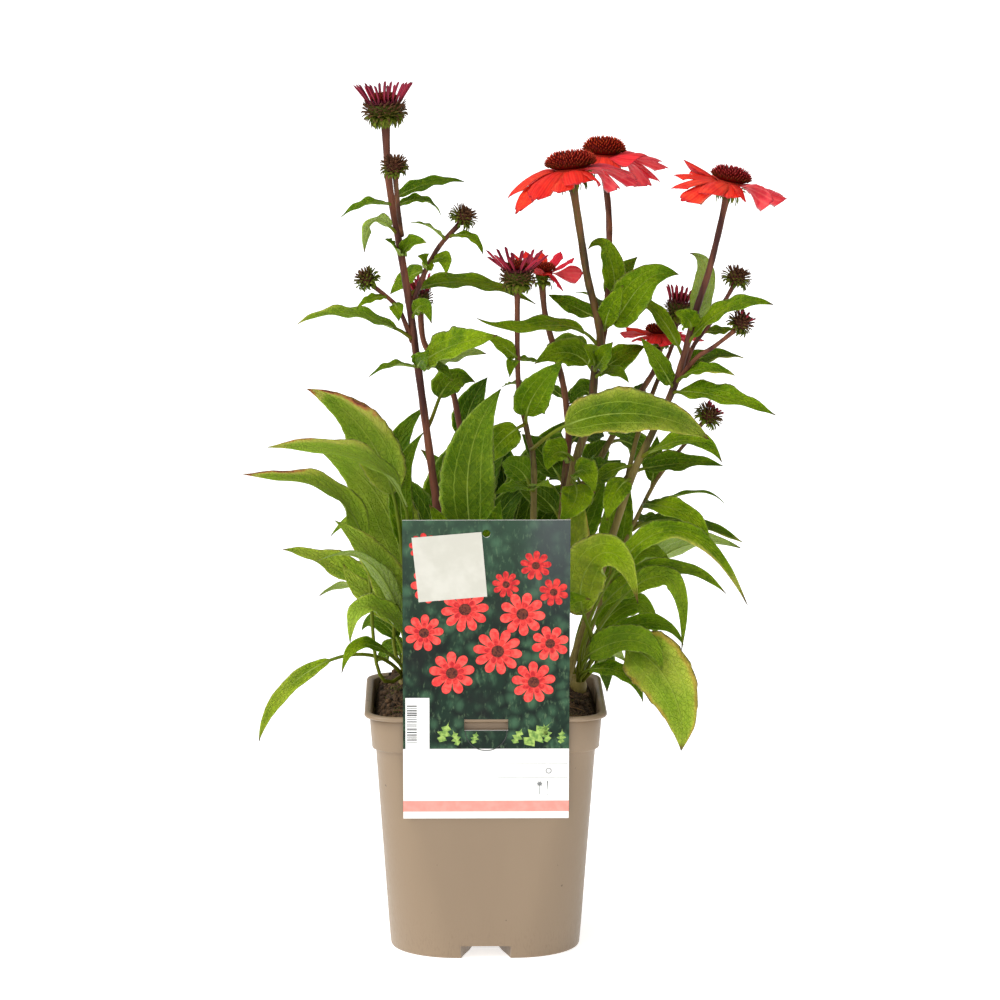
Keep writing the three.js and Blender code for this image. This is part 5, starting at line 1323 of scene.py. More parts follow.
def add_leaf(blades, stalks, start, leaf, shift, seed, ruddy, burnt, yellowed, dark):
    """One leaf: its blade, and the stalk that tapers into a rib under the blade."""
    passes, width, face, stalk = leaf
    midrib = curve_through([start] + [Vector(place) for place in passes])
    tilt = math.radians(face)
    facing = Vector((0, -math.sin(tilt), math.cos(tilt)))
    pushed = Vector((0, *shift))
    fold = LEAF_FOLD if width >= FOLDED_WIDTH else LEAF_FOLD * NARROW_FOLD
    length = (Vector(passes[-1]) - start).length * (1 - stalk)
    teeth = max(round(length / TOOTH_SPACING), FEWEST_TEETH)
    waves = ranging(*LEAF_WAVES, seed, 1)
    phase = WAVE_START * draw(seed, 2)
    roll = LEAF_ROLL * (draw(seed, 3) - 0.5)
    curl = width * ranging(*LEAF_CURL, seed, 4)

    def bent(t):
        return midrib(t) + pushed * t

    def frame_at(t, u):
        along = (bent(t + 0.01) - bent(t - 0.01)).normalized()
        side = along.cross(facing).normalized()
        normal = side.cross(along).normalized()
        turn = roll * u * u
        return (
            side * math.cos(turn) + normal * math.sin(turn),
            normal * math.cos(turn) - side * math.sin(turn),
        )

    def drop(u):
        return curl * max(u - CURL_START, 0) ** 2 * CURL_BEND

    def section(u):
        t = stalk + (1 - stalk) * u
        side, normal = frame_at(t, u)
        tooth = (u * teeth) % 1
        half = max(width / 2 * blade_shape(u) * (1 + TOOTH_DEPTH * (tooth ** 1.5 - 0.4)), 0.25)
        raised = half * math.sin(fold) / 2
        at = bent(t) - normal * drop(u)

        def across(v):
            out = abs(v)
            swing = math.sin(2 * math.pi * waves * u + phase + (OTHER_MARGIN if v > 0 else 0))
            ripple = LEAF_WAVE * half * out ** 2.2 * swing
            quilt = QUILTING * width * math.sin(math.pi * min(out * 2.2, 2))
            quilt *= 1 if out > 0.45 else 0.4
            height = raised * (2 * out ** 1.2 - 1) + ripple + quilt
            place = at + side * (v * half * math.cos(fold * 0.8)) + normal * height
            return place, normal * (LEAF_THICK / 2 * (1 - MARGIN_THINNING * out))
        return across

    rows = next(count for least, count in BLADE_ROWS if width >= least)
    add_blade(
        blades, rows, BLADE_COLUMNS, section,
        tint=draw(seed, 5), burnt=burnt, yellowed=yellowed, dark=dark,
    )
    rib_end = stalk + (1 - stalk) * RIB_REACH
    path, radii = [], []
    for i in range(PETIOLE_STEPS + 1):
        t = rib_end * i / PETIOLE_STEPS
        u = max((t - stalk) / (1 - stalk), 0)
        _, normal = frame_at(max(t, 0.01), u)
        half = width / 2 * blade_shape(u) if u > 0 else 0
        radius = PETIOLE_HALF * (1.25 - 0.25 * min(t / max(stalk, 0.05), 1)) * (1 - RIB_THINNING * u)
        under = half * math.sin(fold) / 2 + drop(u) + radius * 0.45 * min(u * 6, 1)
        path.append(bent(t) - normal * under)
        radii.append(radius)
    first = len(stalks.points)
    add_tube(stalks, path, radii, PETIOLE_FACETS)
    for k in range(first, len(stalks.points)):
        t = rib_end * stalks.marks["along"][k]
        stalks.marks["ruddy"][k] = ruddy * (1 - 0.8 * min(t / stalk, 1))
        stalks.marks["rib"][k] = min(max(t - stalk, 0) / 0.1, 1)


# Veins: three main ones that arch from base to tip, side veins between them and the margin, and
# a fine net between those.
NET_CELL = 2.7
ARCH_PLACE = 0.46  # where an outer main vein runs, from 0 at the midrib to 1 at the margin
SIDE_VEINS = 11.0  # on each side, along the blade
SIDE_SLANT = 2.6
veins, given, taken = group_of(
    "leaf_veins", {"Along": 0.0, "Across": 0.0}, ("Main", "Side", "Net", "Relief"),
)
along_mark, across_mark = given.outputs["Along"], given.outputs["Across"]
out = sum_of(veins, "ABSOLUTE", across_mark)
midline = eased(veins, out, 0.05, 0.0)
arch = eased(veins, sum_of(veins, "ABSOLUTE", sum_of(veins, "SUBTRACT", out, ARCH_PLACE)), 0.045, 0.0)
fading = eased(veins, along_mark, 0.95, 0.45)
main = sum_of(veins, "MAXIMUM", midline, times(veins, times(veins, arch, 0.75), fading))
slant = sum_of(veins, "SUBTRACT", times(veins, along_mark, SIDE_VEINS), times(veins, out, SIDE_SLANT))
saw = sum_of(veins, "ABSOLUTE", sum_of(veins, "SUBTRACT", sum_of(veins, "FRACT", slant), 0.5))
side = eased(veins, saw, 0.06, 0.0)
veins.links.new(main, taken.inputs["Main"])
veins.links.new(side, taken.inputs["Side"])
net_cells = put(veins, "ShaderNodeTexVoronoi", {
    "Vector": put(veins, "ShaderNodeTexCoord").outputs["Object"], "Scale": 1 / (NET_CELL * MILLIMETRE),
}, feature="DISTANCE_TO_EDGE")
net = eased(veins, net_cells.outputs["Distance"], 0.12, 0.0)
veins.links.new(net, taken.inputs["Net"])
sunk = sum_of(veins, "MAXIMUM", main, times(veins, sum_of(veins, "MAXIMUM", side, net), 0.5))
veins.links.new(sum_of(veins, "SUBTRACT", times(veins, saw, 0.8), sunk), taken.inputs["Relief"])

leaf_finish, tree, shader = finish_of(
    "leaf_blade", specular_ior_level=0.07, subsurface_weight=0.4, subsurface_scale=1.2 * MILLIMETRE,
    subsurface_radius=(0.8, 1.0, 0.3),
)
vein = put(
    tree, "ShaderNodeGroup", {"Along": mark_of(tree, "along"), "Across": mark_of(tree, "across")},
    node_tree=veins,
).outputs
patches, grain = mottled(tree, 16, 0.9)
broad, streaks = mottled(tree, 34, 3.2)
tint, dark, yellowed, along, across = (
    mark_of(tree, mark) for mark in ("tint", "dark", "yellowed", "along", "across")
)
across_both = sum_of(tree, "ABSOLUTE", across)
yellow = plus(tree, eased(tree, broad, 0.35, 0.65, high=0.8), eased(tree, across_both, 0.4, 1.0, high=0.5))
# The dark mark paints shade as a deep green, and below 0 it paints light as a paler green; part of it is
# darker tone by chance.
upper = washed(
    tree, blend(tree, tint, colour(88, 120, 6), colour(128, 152, 12)),
    (eased(tree, patches, 0.42, 0.66, high=0.75), colour(66, 100, 4)),
    (eased(tree, streaks, 0.5, 0.72, high=0.45), colour(150, 172, 26)),
    (times(tree, dark, 0.95), colour(38, 68, 6)),
    (eased(tree, dark, 0.0, -1.0, high=0.9), colour(150, 176, 58)),
    (times(tree, yellowed, yellow), colour(176, 178, 72)),
    (times(tree, vein["Net"], 0.2), colour(64, 96, 2)),
    (times(tree, vein["Side"], 0.38), colour(142, 166, 40)),
    (times(tree, vein["Main"], 0.45), colour(164, 184, 72)),
)
lower = washed(
    tree, blend(tree, tint, colour(120, 142, 60), colour(150, 168, 82)),
    (eased(tree, patches, 0.42, 0.66, high=0.4), colour(104, 130, 52)),
    (times(tree, vein["Net"], 0.3), colour(166, 182, 112)),
    (times(tree, vein["Main"], 0.7), colour(182, 196, 132)),
    (times(tree, vein["Side"], 0.45), colour(174, 190, 124)),
)
margin = eased(tree, across, 0.3, 1.0)
outer_end = eased(tree, along, 0.2, 0.8)
tip_end = eased(tree, along, 0.84, 0.97)
uneven = eased(tree, patches, 0.3, 0.6, 0.65, 1.25)
scorch = sum_of(tree, "MAXIMUM", times(tree, margin, outer_end), times(tree, tip_end, 0.7))
scorch = times(tree, times(tree, scorch, uneven), mark_of(tree, "burnt"))
both_margins = eased(tree, across_both, 0.6, 1.0)
tan = times(tree, times(tree, both_margins, uneven), yellowed)
dry_tip = times(tree, eased(tree, along, 0.94, 0.985), eased(tree, tint, 0.2, 0.6))
base = washed(
    tree, blend(tree, mark_of(tree, "under"), upper, lower),
    (eased(tree, scorch, 0.02, 0.35, high=0.8), colour(182, 180, 84)),
    (eased(tree, scorch, 0.45, 0.72), colour(178, 116, 72)),
    (eased(tree, scorch, 0.68, 0.92), colour(112, 50, 50)),
    (eased(tree, tan, 0.28, 0.85, high=0.75), colour(168, 128, 62)),
    (times(tree, dry_tip, 0.85), colour(110, 76, 50)),
)
wear(tree, shader, grain, base, (0.4, 0.56), (vein["Relief"], 0.65), (grain, 0.14))

# The stalk's own finish goes on under the blade as a pale rib.
rib_finish, tree, shader = finish_of("leaf_stalk", specular_ior_level=0.1)
patches, grain = mottled(tree, 6, 0.8, 3.0)
base = washed(
    tree, blend(tree, patches, colour(76, 98, 14), colour(112, 132, 34)),
    (mark_of(tree, "ruddy"), colour(116, 56, 28)),
    (times(tree, mark_of(tree, "rib"), 0.7), colour(150, 172, 80)),
)
wear(tree, shader, grain, base, (0.42, 0.58), (grain, 0.2))

trunks = {}
for number, name in enumerate([*STEMS, *CROWNS]):
    stalks = Form("along", "ruddy", "rib")
    blades = Form("along", "across", "under", "tint", "burnt", "yellowed", "dark")
    corners = corners_of(name)
    if name in STEMS:
        path, radii, branches, tone = STEMS[name]
        trunks[name] = [stem_points(path)] + [[Vector(p) for p in points] for points, _, _ in branches]
        looks = [(radii, tone)] + [(width, branch_tone) for _, width, branch_tone in branches]
        for k, (points, ((foot, top), stem_tone)) in enumerate(zip(trunks[name], looks)):
            add_stem(stalks, points, foot, top, stem_tone, number * 10 + k)
        petiole_ruddy = tone[1] * 0.5
    else:
        x, y = CROWNS[name]
        ground = soil_top(x, y)
        stub = [Vector((x, y, ground + rise)) for rise, _ in CROWN_STUB]
        add_tube(stalks, stub, [radius for _, radius in CROWN_STUB], CROWN_FACETS)
        petiole_ruddy = 0.25
    whorl = [] if name in STEMS else crown_turns(name)
    stem_faces = len(stalks.faces)
    for i, leaf in enumerate(LEAVES[name]):
        if name in STEMS:
            branch, height, *leaf = leaf
            axis = on_stem(trunks[name][branch], height)
            start = axis + (Vector(leaf[0][0]) - axis).normalized() * LEAF_START
        else:
            start = Vector((x, y, ground + CROWN_HEIGHT * 0.6))
            start += Vector((math.cos(whorl[i]), math.sin(whorl[i]), 0)) * CROWN_START
        passes = leaf[0]
        shift = shift_of(corners, Vector(passes[-1]))
        # A leaf's darkness is painted shade from its place, darker tone by chance, and its own shift, which
        # is painted light where it is below 0.
        burnt, yellowed, darkness_shift = (table.get(name, {}).get(i, 0) for table in (BURNT, YELLOWED, DARKNESS_SHIFTS))
        add_leaf(
            blades, stalks, start, leaf, shift, number * 40 + i, petiole_ruddy, burnt, yellowed,
            shade_and_tone_of(name, i, passes) + darkness_shift,
        )
    stalks.coats[stem_faces:] = [1] * (len(stalks.faces) - stem_faces)
    stem_piece = stalks.make(name + "_stalks", stalk_finish, rib_finish)
    for piece in (stem_piece, blades.make(name + "_leaves", leaf_finish)):
        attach(piece, "root")
        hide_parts(name)

# ---------------------------------------------------------------- open blooms
# A bloom has a green cup of curled bracts, one ring of long coral-red petals with notched tips
# that overlap and come down with age, and a dome of stiff florets: dark at the foot, orange or
# maroon at the tip. The florets stand in crossing spirals.
BLOOMS = {  # stem, branch, cone radius and height, the way it looks, and each petal: where it
    # points (degrees, 0 to the right, 90 to the back), length, width, rise, sag and turn
    "bloom_centre": ("stem_centre", 0, 14.2, 8, (-0.1, 0.02), (
        (5, 30, 11, 0.15, 0.5, 0.3), (31, 29, 12, 0.25, 0.5, 0), (58, 30, 12, 0.25, 0.5, 0),
        (86, 29, 12, 0.25, 0.5, 0), (114, 30, 12, 0.25, 0.55, 0), (142, 30, 12, 0.2, 0.55, 0),
        (169, 30, 12, 0.18, 0.58, 0.1), (193, 32, 12, 0.2, 0.62, 0.1), (211, 33, 8.5, -0.02, 0.64, 0.1),
        (229, 30, 11, 0, 0.5, 0.1), (252, 21, 11.5, -0.12, 0.42, 0.1), (275, 21, 12.5, 0.08, 0.45, -0.05),
        (302, 21, 8.5, -0.08, 0.36, 0.5), (319, 27, 14, 0.05, 0.52, 1.0), (343, 34, 12, 0.12, 0.52, 0.6),
    )),
    "bloom_back": ("stem_centre", 1, 12, 8.2, (0.04, 0), (
        (12, 30, 10, 0.12, 0.22, 0.4), (45, 28, 12, 0.3, 0.4, 0), (78, 27, 12, 0.3, 0.4, 0),
        (110, 27, 12, 0.3, 0.4, 0), (142, 28, 12, 0.3, 0.45, 0), (174, 27, 12, 0.2, 0.45, 0.2),
        (205, 26, 12, 0.1, 0.45, 0.2), (237, 23, 12.5, 0.05, 0.42, 0.1), (273, 19, 13, -0.02, 0.28, -0.1),
        (309, 28, 13, 0.28, 0.2, -0.5), (328, 27, 13, -0.1, 0.5, 0.7), (343, 29, 7, 0, 0.5, 0.6),
        (356, 33, 8, 0.05, 0.24, 0.5),
    )),
    "bloom_right": ("stem_right", 0, 11.2, 6.6, (0.22, 0.02), (
        (8, 27, 12, 0.08, 0.12, 0.5), (40, 26, 12, 0.15, 0.25, 0), (72, 25, 12, 0.2, 0.25, 0),
        (102, 25, 12, 0.25, 0.25, 0), (131, 26, 11, 0.24, 0.2, 0), (157, 25, 7.5, 0.38, 0.1, -0.2),
        (176, 27, 11, 0.18, 0.28, 0.05), (197, 29, 12, -0.02, 0.36, 0.05), (218, 28, 12, -0.12, 0.44, 0.05),
        (240, 24, 12.5, -0.02, 0.36, 0.05), (268, 18, 10, -0.08, 0.35, 0), (290, 20, 8, -0.1, 0.3, 0.6),
        (323, 26, 13, 0, 0.14, 0.9), (346, 29, 11, 0.05, 0.1, 0.7),
    )),
    "bloom_small": ("stem_right_back", 0, 7.6, 3.6, (-0.03, 0.02), (
        (18, 19, 7, 0.1, 0.3, 0), (54, 18, 8, 0.2, 0.3, 0), (90, 18, 8, 0.2, 0.3, 0),
        (126, 18, 8, 0.25, 0.25, 0), (158, 17, 8, 0.4, 0.15, 0.4), (184, 20, 8, 0.2, 0.1, -0.5),
        (216, 17, 8, 0.1, 0.2, 0), (250, 15, 8, 0, 0.3, 0), (284, 15, 8, 0, 0.3, 0),
        (318, 19, 7, 0, 0.25, 0.3), (350, 23, 6, 0.05, 0.25, 0.3),
    )),
    "bloom_opening": ("stem_centre_back", 0, 7, 3, (0.02, -0.02), (
        (24, 17, 5, 0.6, 0.05, 0), (56, 16, 5, 0.75, 0.05, 0), (90, 15, 5, 0.8, 0.05, 0),
        (124, 14, 5, 0.85, 0.05, 0), (156, 15, 5, 0.8, 0.05, 0), (188, 16, 5, 0.65, 0.05, 0),
        (222, 14, 5, 0.55, 0.05, 0), (256, 12, 5, 0.5, 0.1, 0), (290, 11, 5, 0.3, 0.2, 0),
        (324, 11, 6.5, -0.2, 0.75, 0.3), (354, 20.5, 9, 0.1, 0.06, 1.0),
    )),
}
MAROON_CONES = {"bloom_centre": 0.3, "bloom_right": 0.85}  # how maroon the tips of their florets are
FULL_CONE = 15  # radius of a cone for which the cup's sizes are given
SMALL_CONE = 10  # a narrower cone is still dark, and its petals are pinker
CUP_BRACTS = 46
CUP_TOP = 6
DISC_DEPTH = 1.8
PETAL_ROOT = 0.72  # where petals start, as a share of the cone's radius
PETAL_THICK = 0.5
PETAL_LAYER = 0.45
PETAL_SETTLED = 0.3  # how far along it a petal has come to its own layer
PETAL_TURN_END = 0.6  # how far along it a petal has turned
PETAL_SHINGLED = 0.3  # from this turn on a petal starts at the middle height
PETAL_FULLNESS = 1.45  # as broad as the solid's ray, and so much more, so that petals overlap
PETAL_GROOVES = 3
PETAL_ROLL = 0.7
PETAL_CUPPING = (0.15, 0.35)  # the least, and how much more
PETAL_NOTCH = (0.02, 0.035)
PETAL_ROUNDING = 0.24  # how much shorter a petal is at its margins
PETAL_WAVES = (1.2, 1)
PETAL_ROWS = 16
PETAL_COLUMNS = 12
# The petals that point this way, away from the light, are painted pink as shade.
SHADED_SIDE = 0.2  # the way that the pinkest petals point, in radians
HEAD_FACETS = 28
BRACT_COLUMNS = 4
BRACT_THICK = 0.56
DOME_FOOT = ((0.7, 0), (0.86, 0.7))  # radius as a share of the cone's, and height
DOME_STEPS = 8
DOME_ROUNDNESS = 0.7
FLORETS = 330  # on a cone of the next line's radius
FLORETS_RADIUS = 14
FLORET_REACH = 3.0
FLORET_SIDES = 5
FLORET_RADII = (0.5, 0.44, 0.26, 0.05)
FLORET_MARKS = (0, 0.4, 0.85, 1)
SMALL_CONE_DARKNESS = 0.7
GOLDEN_TURN = math.pi * (3 - math.sqrt(5))
HEAD_CLEARANCE = 2.8


def head_frame(stem, branch, upright=0, looks=None):
    """Places about a flower head's axis: round it, out from it and up it.

    The head looks the given way, or along its stem and turned towards upright."""
    points = trunks[stem][branch]
    stem_way = (points[-1] - points[-2]).normalized()
    axis = Vector((*looks, 1)) if looks else stem_way + Vector((0, 0, upright))
    axis.normalize()
    foot = points[-1] + axis * HEAD_CLEARANCE * (axis - stem_way).length
    first = (Vector((1, 0, 0)) - axis * axis.x).normalized()
    second = axis.cross(first)

    def place(angle, radius, height):
        return foot + (first * math.cos(angle) + second * math.sin(angle)) * radius + axis * height
    return place


def ways_at(place, angle):
    """The ways out from a head's axis and up it."""
    return place(angle, 1, 0) - place(angle, 0, 0), place(angle, 0, 1) - place(angle, 0, 0)


def add_turned(form, place, profile, **marks):
    """A closed turned body about a head's axis, from radii and heights."""
    turns = [2 * math.pi * k / HEAD_FACETS for k in range(HEAD_FACETS)]
    add_loft(form, [[place(a, radius, height) for a in turns] for radius, height in profile], **marks)


def pointed(t):
    """Width of a bract along it."""
    return (1 - t ** 2.2) * (0.75 + 0.5 * t)


def add_bract(form, place, angle, foot, tip, width, bulge, twist=0.0, rows=7, shape=pointed, channel=0.35,
              **marks):
    """A narrow bract or ray between two radii and heights, bulging out on its way."""
    (r0, h0), (r1, h1) = foot, tip

    def path(t):
        swell = bulge * 4 * t * (1 - t)
        return place(angle + twist * t, r0 + (r1 - r0) * t + swell * 0.5, h0 + (h1 - h0) * t + swell * 0.4)

    outwards, upwards = ways_at(place, angle)
    side = upwards.cross(outwards).normalized()

    def section(t):
        along = (path(t + 0.02) - path(t - 0.02)).normalized()
        normal = side.cross(along).normalized()
        half = max(width / 2 * shape(t), 0.1)
        at = path(t)

        def across(v):
            place = at + side * (v * half) - normal * (channel * half * v * v)
            return place, normal * BRACT_THICK / 2 * (1.1 - abs(v))
        return across
    add_blade(form, rows, BRACT_COLUMNS, section, **marks)


def add_burr(form, place, profile, count, rise, length, width, bulge, ruddy, seed):
    """Bracts in a golden spiral all over a turned body, from its foot to its top.

    Their rise in radians, length, width and purple-brown tone run between two values."""
    marks = [0]
    for before, after in zip(profile, profile[1:]):
        marks.append(marks[-1] + math.dist(before, after))
    for k in range(count):
        share = (k + 0.5) / count
        step = max(i for i in range(len(profile) - 1) if marks[i] <= share * marks[-1])
        on = (share * marks[-1] - marks[step]) / (marks[step + 1] - marks[step])
        radius, height = (a + (b - a) * on for a, b in zip(profile[step], profile[step + 1]))
        tilt, long, wide, tone = (a + (b - a) * share for a, b in (rise, length, width, ruddy))
        tilt += 0.5 * (draw(seed + k, 1) - 0.5)
        long *= ranging(0.8, 0.4, seed + k, 2)
        tip = (radius + long * math.cos(tilt), height + long * math.sin(tilt))
        add_bract(form, place, k * GOLDEN_TURN, (radius - 0.2, height), tip, wide, bulge,
                  0.5 * (draw(seed + k, 3) - 0.5), tint=draw(seed + k, 4),
                  ruddy=tone + 0.25 * (draw(seed + k, 5) - 0.5))


def petal_shape(t):
    """Width of a petal along it: full from its middle on, and narrower at its tip."""
    spread = 0.5 + 0.5 * math.sin(min(t / 0.55, 1) * math.pi / 2)
    return spread * (1 - 0.5 * max(t - 0.76, 0) ** 2 / 0.058)


def add_petal(form, place, i, petal, root, middle, pink_strength, seed):
    """One petal: ribbed, cupped, turned along its length, with a three-toothed tip."""
    degrees, long, wide, rise, sag, turn = petal
    angle = math.radians(degrees)
    layer = PETAL_LAYER * (1 if i % 2 else -1) * max(1 - abs(turn) / PETAL_SHINGLED, 0)
    roll = PETAL_ROLL * (draw(i, seed + 50) - 0.5)
    cup = ranging(*PETAL_CUPPING, i, seed + 60)
    notch = ranging(*PETAL_NOTCH, i, seed + 70)
    waves = ranging(*PETAL_WAVES, i, seed + 75)

    def path(t):
        height = middle + layer * min(t / PETAL_SETTLED, 1) + long * (rise * t - sag * t * t)
        return place(angle, root + long * t, height)

    outwards, upwards = ways_at(place, angle)
    aside = upwards.cross(outwards)

    def section(u):
        def across(v):
            out = abs(v)
            tooth = max(1 - abs(out - 1 / 3) * 6, 0)
            t = u * (1 - u ** 5 * (PETAL_ROUNDING * out ** 2.2 + notch * tooth))
            turned = turn * min(t / PETAL_TURN_END, 1) + roll * t * t
            facing = upwards * math.cos(turned) + aside * math.sin(turned)
            along = (path(t + 0.01) - path(t - 0.01)).normalized()
            side = along.cross(facing).normalized()
            normal = side.cross(along).normalized()
            half = wide * PETAL_FULLNESS * petal_shape(t) / 2
            groove = 0.2 * math.cos(PETAL_GROOVES * math.pi * v) * min(u * 3, 1) * (1 - out)
            ripple = 0.5 * out ** 3 * math.sin(2 * math.pi * waves * u + (0 if v > 0 else 2)) * u
            height = groove + ripple - cup * half * v * v * (0.4 + t)
            return path(t) + side * (v * half) + normal * height, normal * (PETAL_THICK / 2 * (1.05 - out))
        return across
    # Pink is painted shade on the petals that point away from the light, with a little more by chance.
    pinkness = pink_strength * (max(math.cos(angle - SHADED_SIDE) - 0.15, 0) + 0.25 * draw(i, seed + 85))
    add_blade(
        form, PETAL_ROWS, PETAL_COLUMNS, section, tint=draw(i, seed + 80), pink=min(pinkness, 1),
    )


def add_cone(form, place, base, radius, height, spines, reach, darkness=0.0, maroon=0.0):
    """A dome of florets with stiff pointed tips, in crossing spirals. Maroon is from 0 to 1."""
    def dome(rise):
        return radius * math.cos(rise) ** DOME_ROUNDNESS, base + 1.5 + height * math.sin(rise)

    profile = [(radius * share, base + rise) for share, rise in DOME_FOOT]
    profile += [dome((0.05 + 0.93 * k / DOME_STEPS) * math.pi / 2) for k in range(DOME_STEPS + 1)]
    add_turned(form, place, profile, tint=0.3)
    for k in range(spines):
        share = (k + 0.5) / spines
        rise = min(max(math.asin(1 - share), 0.02), 1.53)
        length = reach * (0.6 + 0.4 * math.cos(rise)) * ranging(0.75, 0.5, k, 5)
        r, h = dome(rise)
        tilt = rise * 0.8 + 0.45 + 0.3 * (draw(k, 6) - 0.5)
        dr, dh = math.cos(tilt), math.sin(tilt)
        turn = k * GOLDEN_TURN + 0.05 * (draw(k, 8) - 0.5)
        path = [place(turn, r + dr * s, h + dh * s) for s in (-0.6, length * 0.35, length * 0.8, length)]
        add_tube(form, path, FLORET_RADII, FLORET_SIDES, along=FLORET_MARKS,
                 tint=draw(k, 7), low=max(1 - math.sin(rise), darkness), maroon=maroon)


# Ribs: fine lines that run along a petal, a bract or a young ray, at marks from -1 to 1 across it.
ribs, given, taken = group_of("ribs", {"Across": 0.0, "Count": 5.0, "Sharpness": 2.0}, ("Lines", "Relief"))
rib_number = times(ribs, given.outputs["Across"], given.outputs["Count"])
swing = sum_of(ribs, "COSINE", times(ribs, rib_number, math.pi))
half_swing = plus(ribs, times(ribs, swing, 0.5), 0.5)
ribs.links.new(sum_of(ribs, "POWER", half_swing, given.outputs["Sharpness"]), taken.inputs["Lines"])
ribs.links.new(half_swing, taken.inputs["Relief"])


def ribbed(tree, count, sharpness):
    """Lines and relief from the ribs group, for a count of ribs across."""
    made = put(tree, "ShaderNodeGroup", node_tree=ribs)
    tree.links.new(mark_of(tree, "across"), made.inputs["Across"])
    made.inputs["Count"].default_value = count
    made.inputs["Sharpness"].default_value = sharpness
    return made.outputs["Lines"], made.outputs["Relief"]


petal_finish, tree, shader = finish_of(
    "coral_petal", specular_ior_level=0.08, subsurface_weight=0.4, subsurface_scale=1.2 * MILLIMETRE,
    subsurface_radius=(1.0, 0.3, 0.3),
)
lines, relief = ribbed(tree, 4, 4.0)
veinlets, _ = ribbed(tree, 11, 2.0)
patches, grain = mottled(tree, 9, 0.7)
tint, along = (mark_of(tree, mark) for mark in ("tint", "along"))
# The pink mark is painted shade on petals turned away from the light.
upper = washed(
    tree, blend(tree, tint, colour(232, 34, 18), colour(248, 74, 40)),
    (eased(tree, patches, 0.4, 0.66, high=0.7), colour(210, 24, 26)),
    (mark_of(tree, "pink"), colour(212, 44, 70)),
    (times(tree, lines, 0.5), colour(170, 14, 26)),
    (times(tree, veinlets, 0.16), colour(255, 112, 74)),
)
lower = washed(
    tree, blend(tree, eased(tree, patches, 0.35, 0.65), colour(194, 44, 58), colour(226, 80, 86)),
    (times(tree, lines, 0.3), colour(240, 122, 112)),
)
base = washed(
    tree, blend(tree, eased(tree, mark_of(tree, "under"), 0.4, 0.6), upper, lower),
    (eased(tree, along, 0.9, 1.0, high=0.7), colour(130, 36, 50)),
    (eased(tree, along, 0.12, 0.0, high=0.5), colour(160, 44, 30)),
)
wear(tree, shader, grain, base, (0.45, 0.6), (relief, 0.1), (grain, 0.1))

cone_finish, tree, shader = finish_of("floret_spines", specular_ior_level=0.03)
_, grain = mottled(tree, 5, 0.5)
low, tint = (mark_of(tree, mark) for mark in ("low", "tint"))
orange_tip = blend(tree, tint, colour(182, 38, 26), colour(234, 98, 46))
maroon_tip = blend(tree, tint, colour(140, 26, 42), colour(206, 74, 84))
tip_tone = washed(
    tree, orange_tip, (mark_of(tree, "maroon"), maroon_tip),
    (eased(tree, low, 0.35, 0.95, high=0.9), colour(128, 46, 30)),
)
foot_tone = blend(tree, eased(tree, low, 0.6, 1.0), colour(90, 12, 8), colour(70, 50, 16))
base = blend(tree, eased(tree, mark_of(tree, "along"), 0.35, 0.95), foot_tone, tip_tone)
base = blend(tree, eased(tree, grain, 0.5, 0.75, high=0.4), base, colour(104, 14, 14))
wear(tree, shader, grain, base, (0.4, 0.55))

# Bracts are green, and turn purple-brown towards their tips and higher up a head.
BETWEEN_RIBS = 1 / 3  # a mark across a bract that lies in the hollow between two of its ribs
bract_finish, tree, shader = finish_of("bract_skin", specular_ior_level=0.08)
lines, relief = ribbed(tree, 3, 3.0)
patches, grain = mottled(tree, 4, 0.5)
green_part = blend(tree, mark_of(tree, "tint"), colour(54, 76, 4), colour(118, 132, 34))
purple_part = blend(tree, patches, colour(48, 20, 18), colour(108, 62, 46))
share = plus(tree, mark_of(tree, "ruddy"), eased(tree, mark_of(tree, "along"), 0.4, 1.0, -0.1, 0.45))
base = washed(
    tree, green_part, (eased(tree, share, 0.1, 0.9), purple_part),
    (times(tree, lines, 0.22), colour(140, 138, 74)),
)
wear(tree, shader, grain, base, (0.5, 0.65), (relief, 0.1), (grain, 0.12))


def dress(piece, node):
    """Rides a flower's piece with the plant, in the place of its solid."""
    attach(piece, "root")
    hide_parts(node)


for number, (name, (stem, branch, radius, height, looks, petals)) in enumerate(BLOOMS.items()):
    place = head_frame(stem, branch, looks=looks)
    size = radius / FULL_CONE
    small = radius < SMALL_CONE
    cup_form = Form("along", "across", "tint", "ruddy")
    cup_profile = [(2.5, -0.4), (3.4, 0.4)] + [(r * size, h) for r, h in (
        (5.4, 1.3), (7.4, 3.0), (8.6, 4.5), (9.5, CUP_TOP),
    )]
    add_turned(cup_form, place, cup_profile, tint=0.3, across=BETWEEN_RIBS)
    add_burr(cup_form, place, cup_profile[1:-1], round(CUP_BRACTS * size), (-1.3, 0.0),
             (9.0 * size, 8.0 * size), (2.6, 3.2), 2.4, (-0.3, -0.1), 200 * number)
    dress(cup_form.make(name + "_cup", bract_finish), name + "_bracts")

    disc_low, disc_high = CUP_TOP + GAP, CUP_TOP + GAP + DISC_DEPTH
    root = radius * PETAL_ROOT
    ray_form = Form("along", "across", "under", "tint", "pink")
    add_turned(ray_form, place, [
        (root * 0.9, disc_low), (root, disc_low + 0.6), (root, disc_high - 0.4), (root * 0.94, disc_high),
    ])
    for i, petal in enumerate(petals):
        add_petal(ray_form, place, i, petal, root, (disc_low + disc_high) / 2, 2.2 if small else 1, number)
    dress(ray_form.make(name + "_petals", petal_finish), name + "_rays")

    cone_form = Form("along", "tint", "low", "maroon")
    spines = round(FLORETS * (radius / FLORETS_RADIUS) ** 1.6)
    add_cone(cone_form, place, disc_high + GAP, radius, height, spines, FLORET_REACH * size ** 0.5,
             SMALL_CONE_DARKNESS if small else 0, MAROON_CONES.get(name, 0))
    dress(cone_form.make(name + "_florets", cone_finish), name + "_cone")

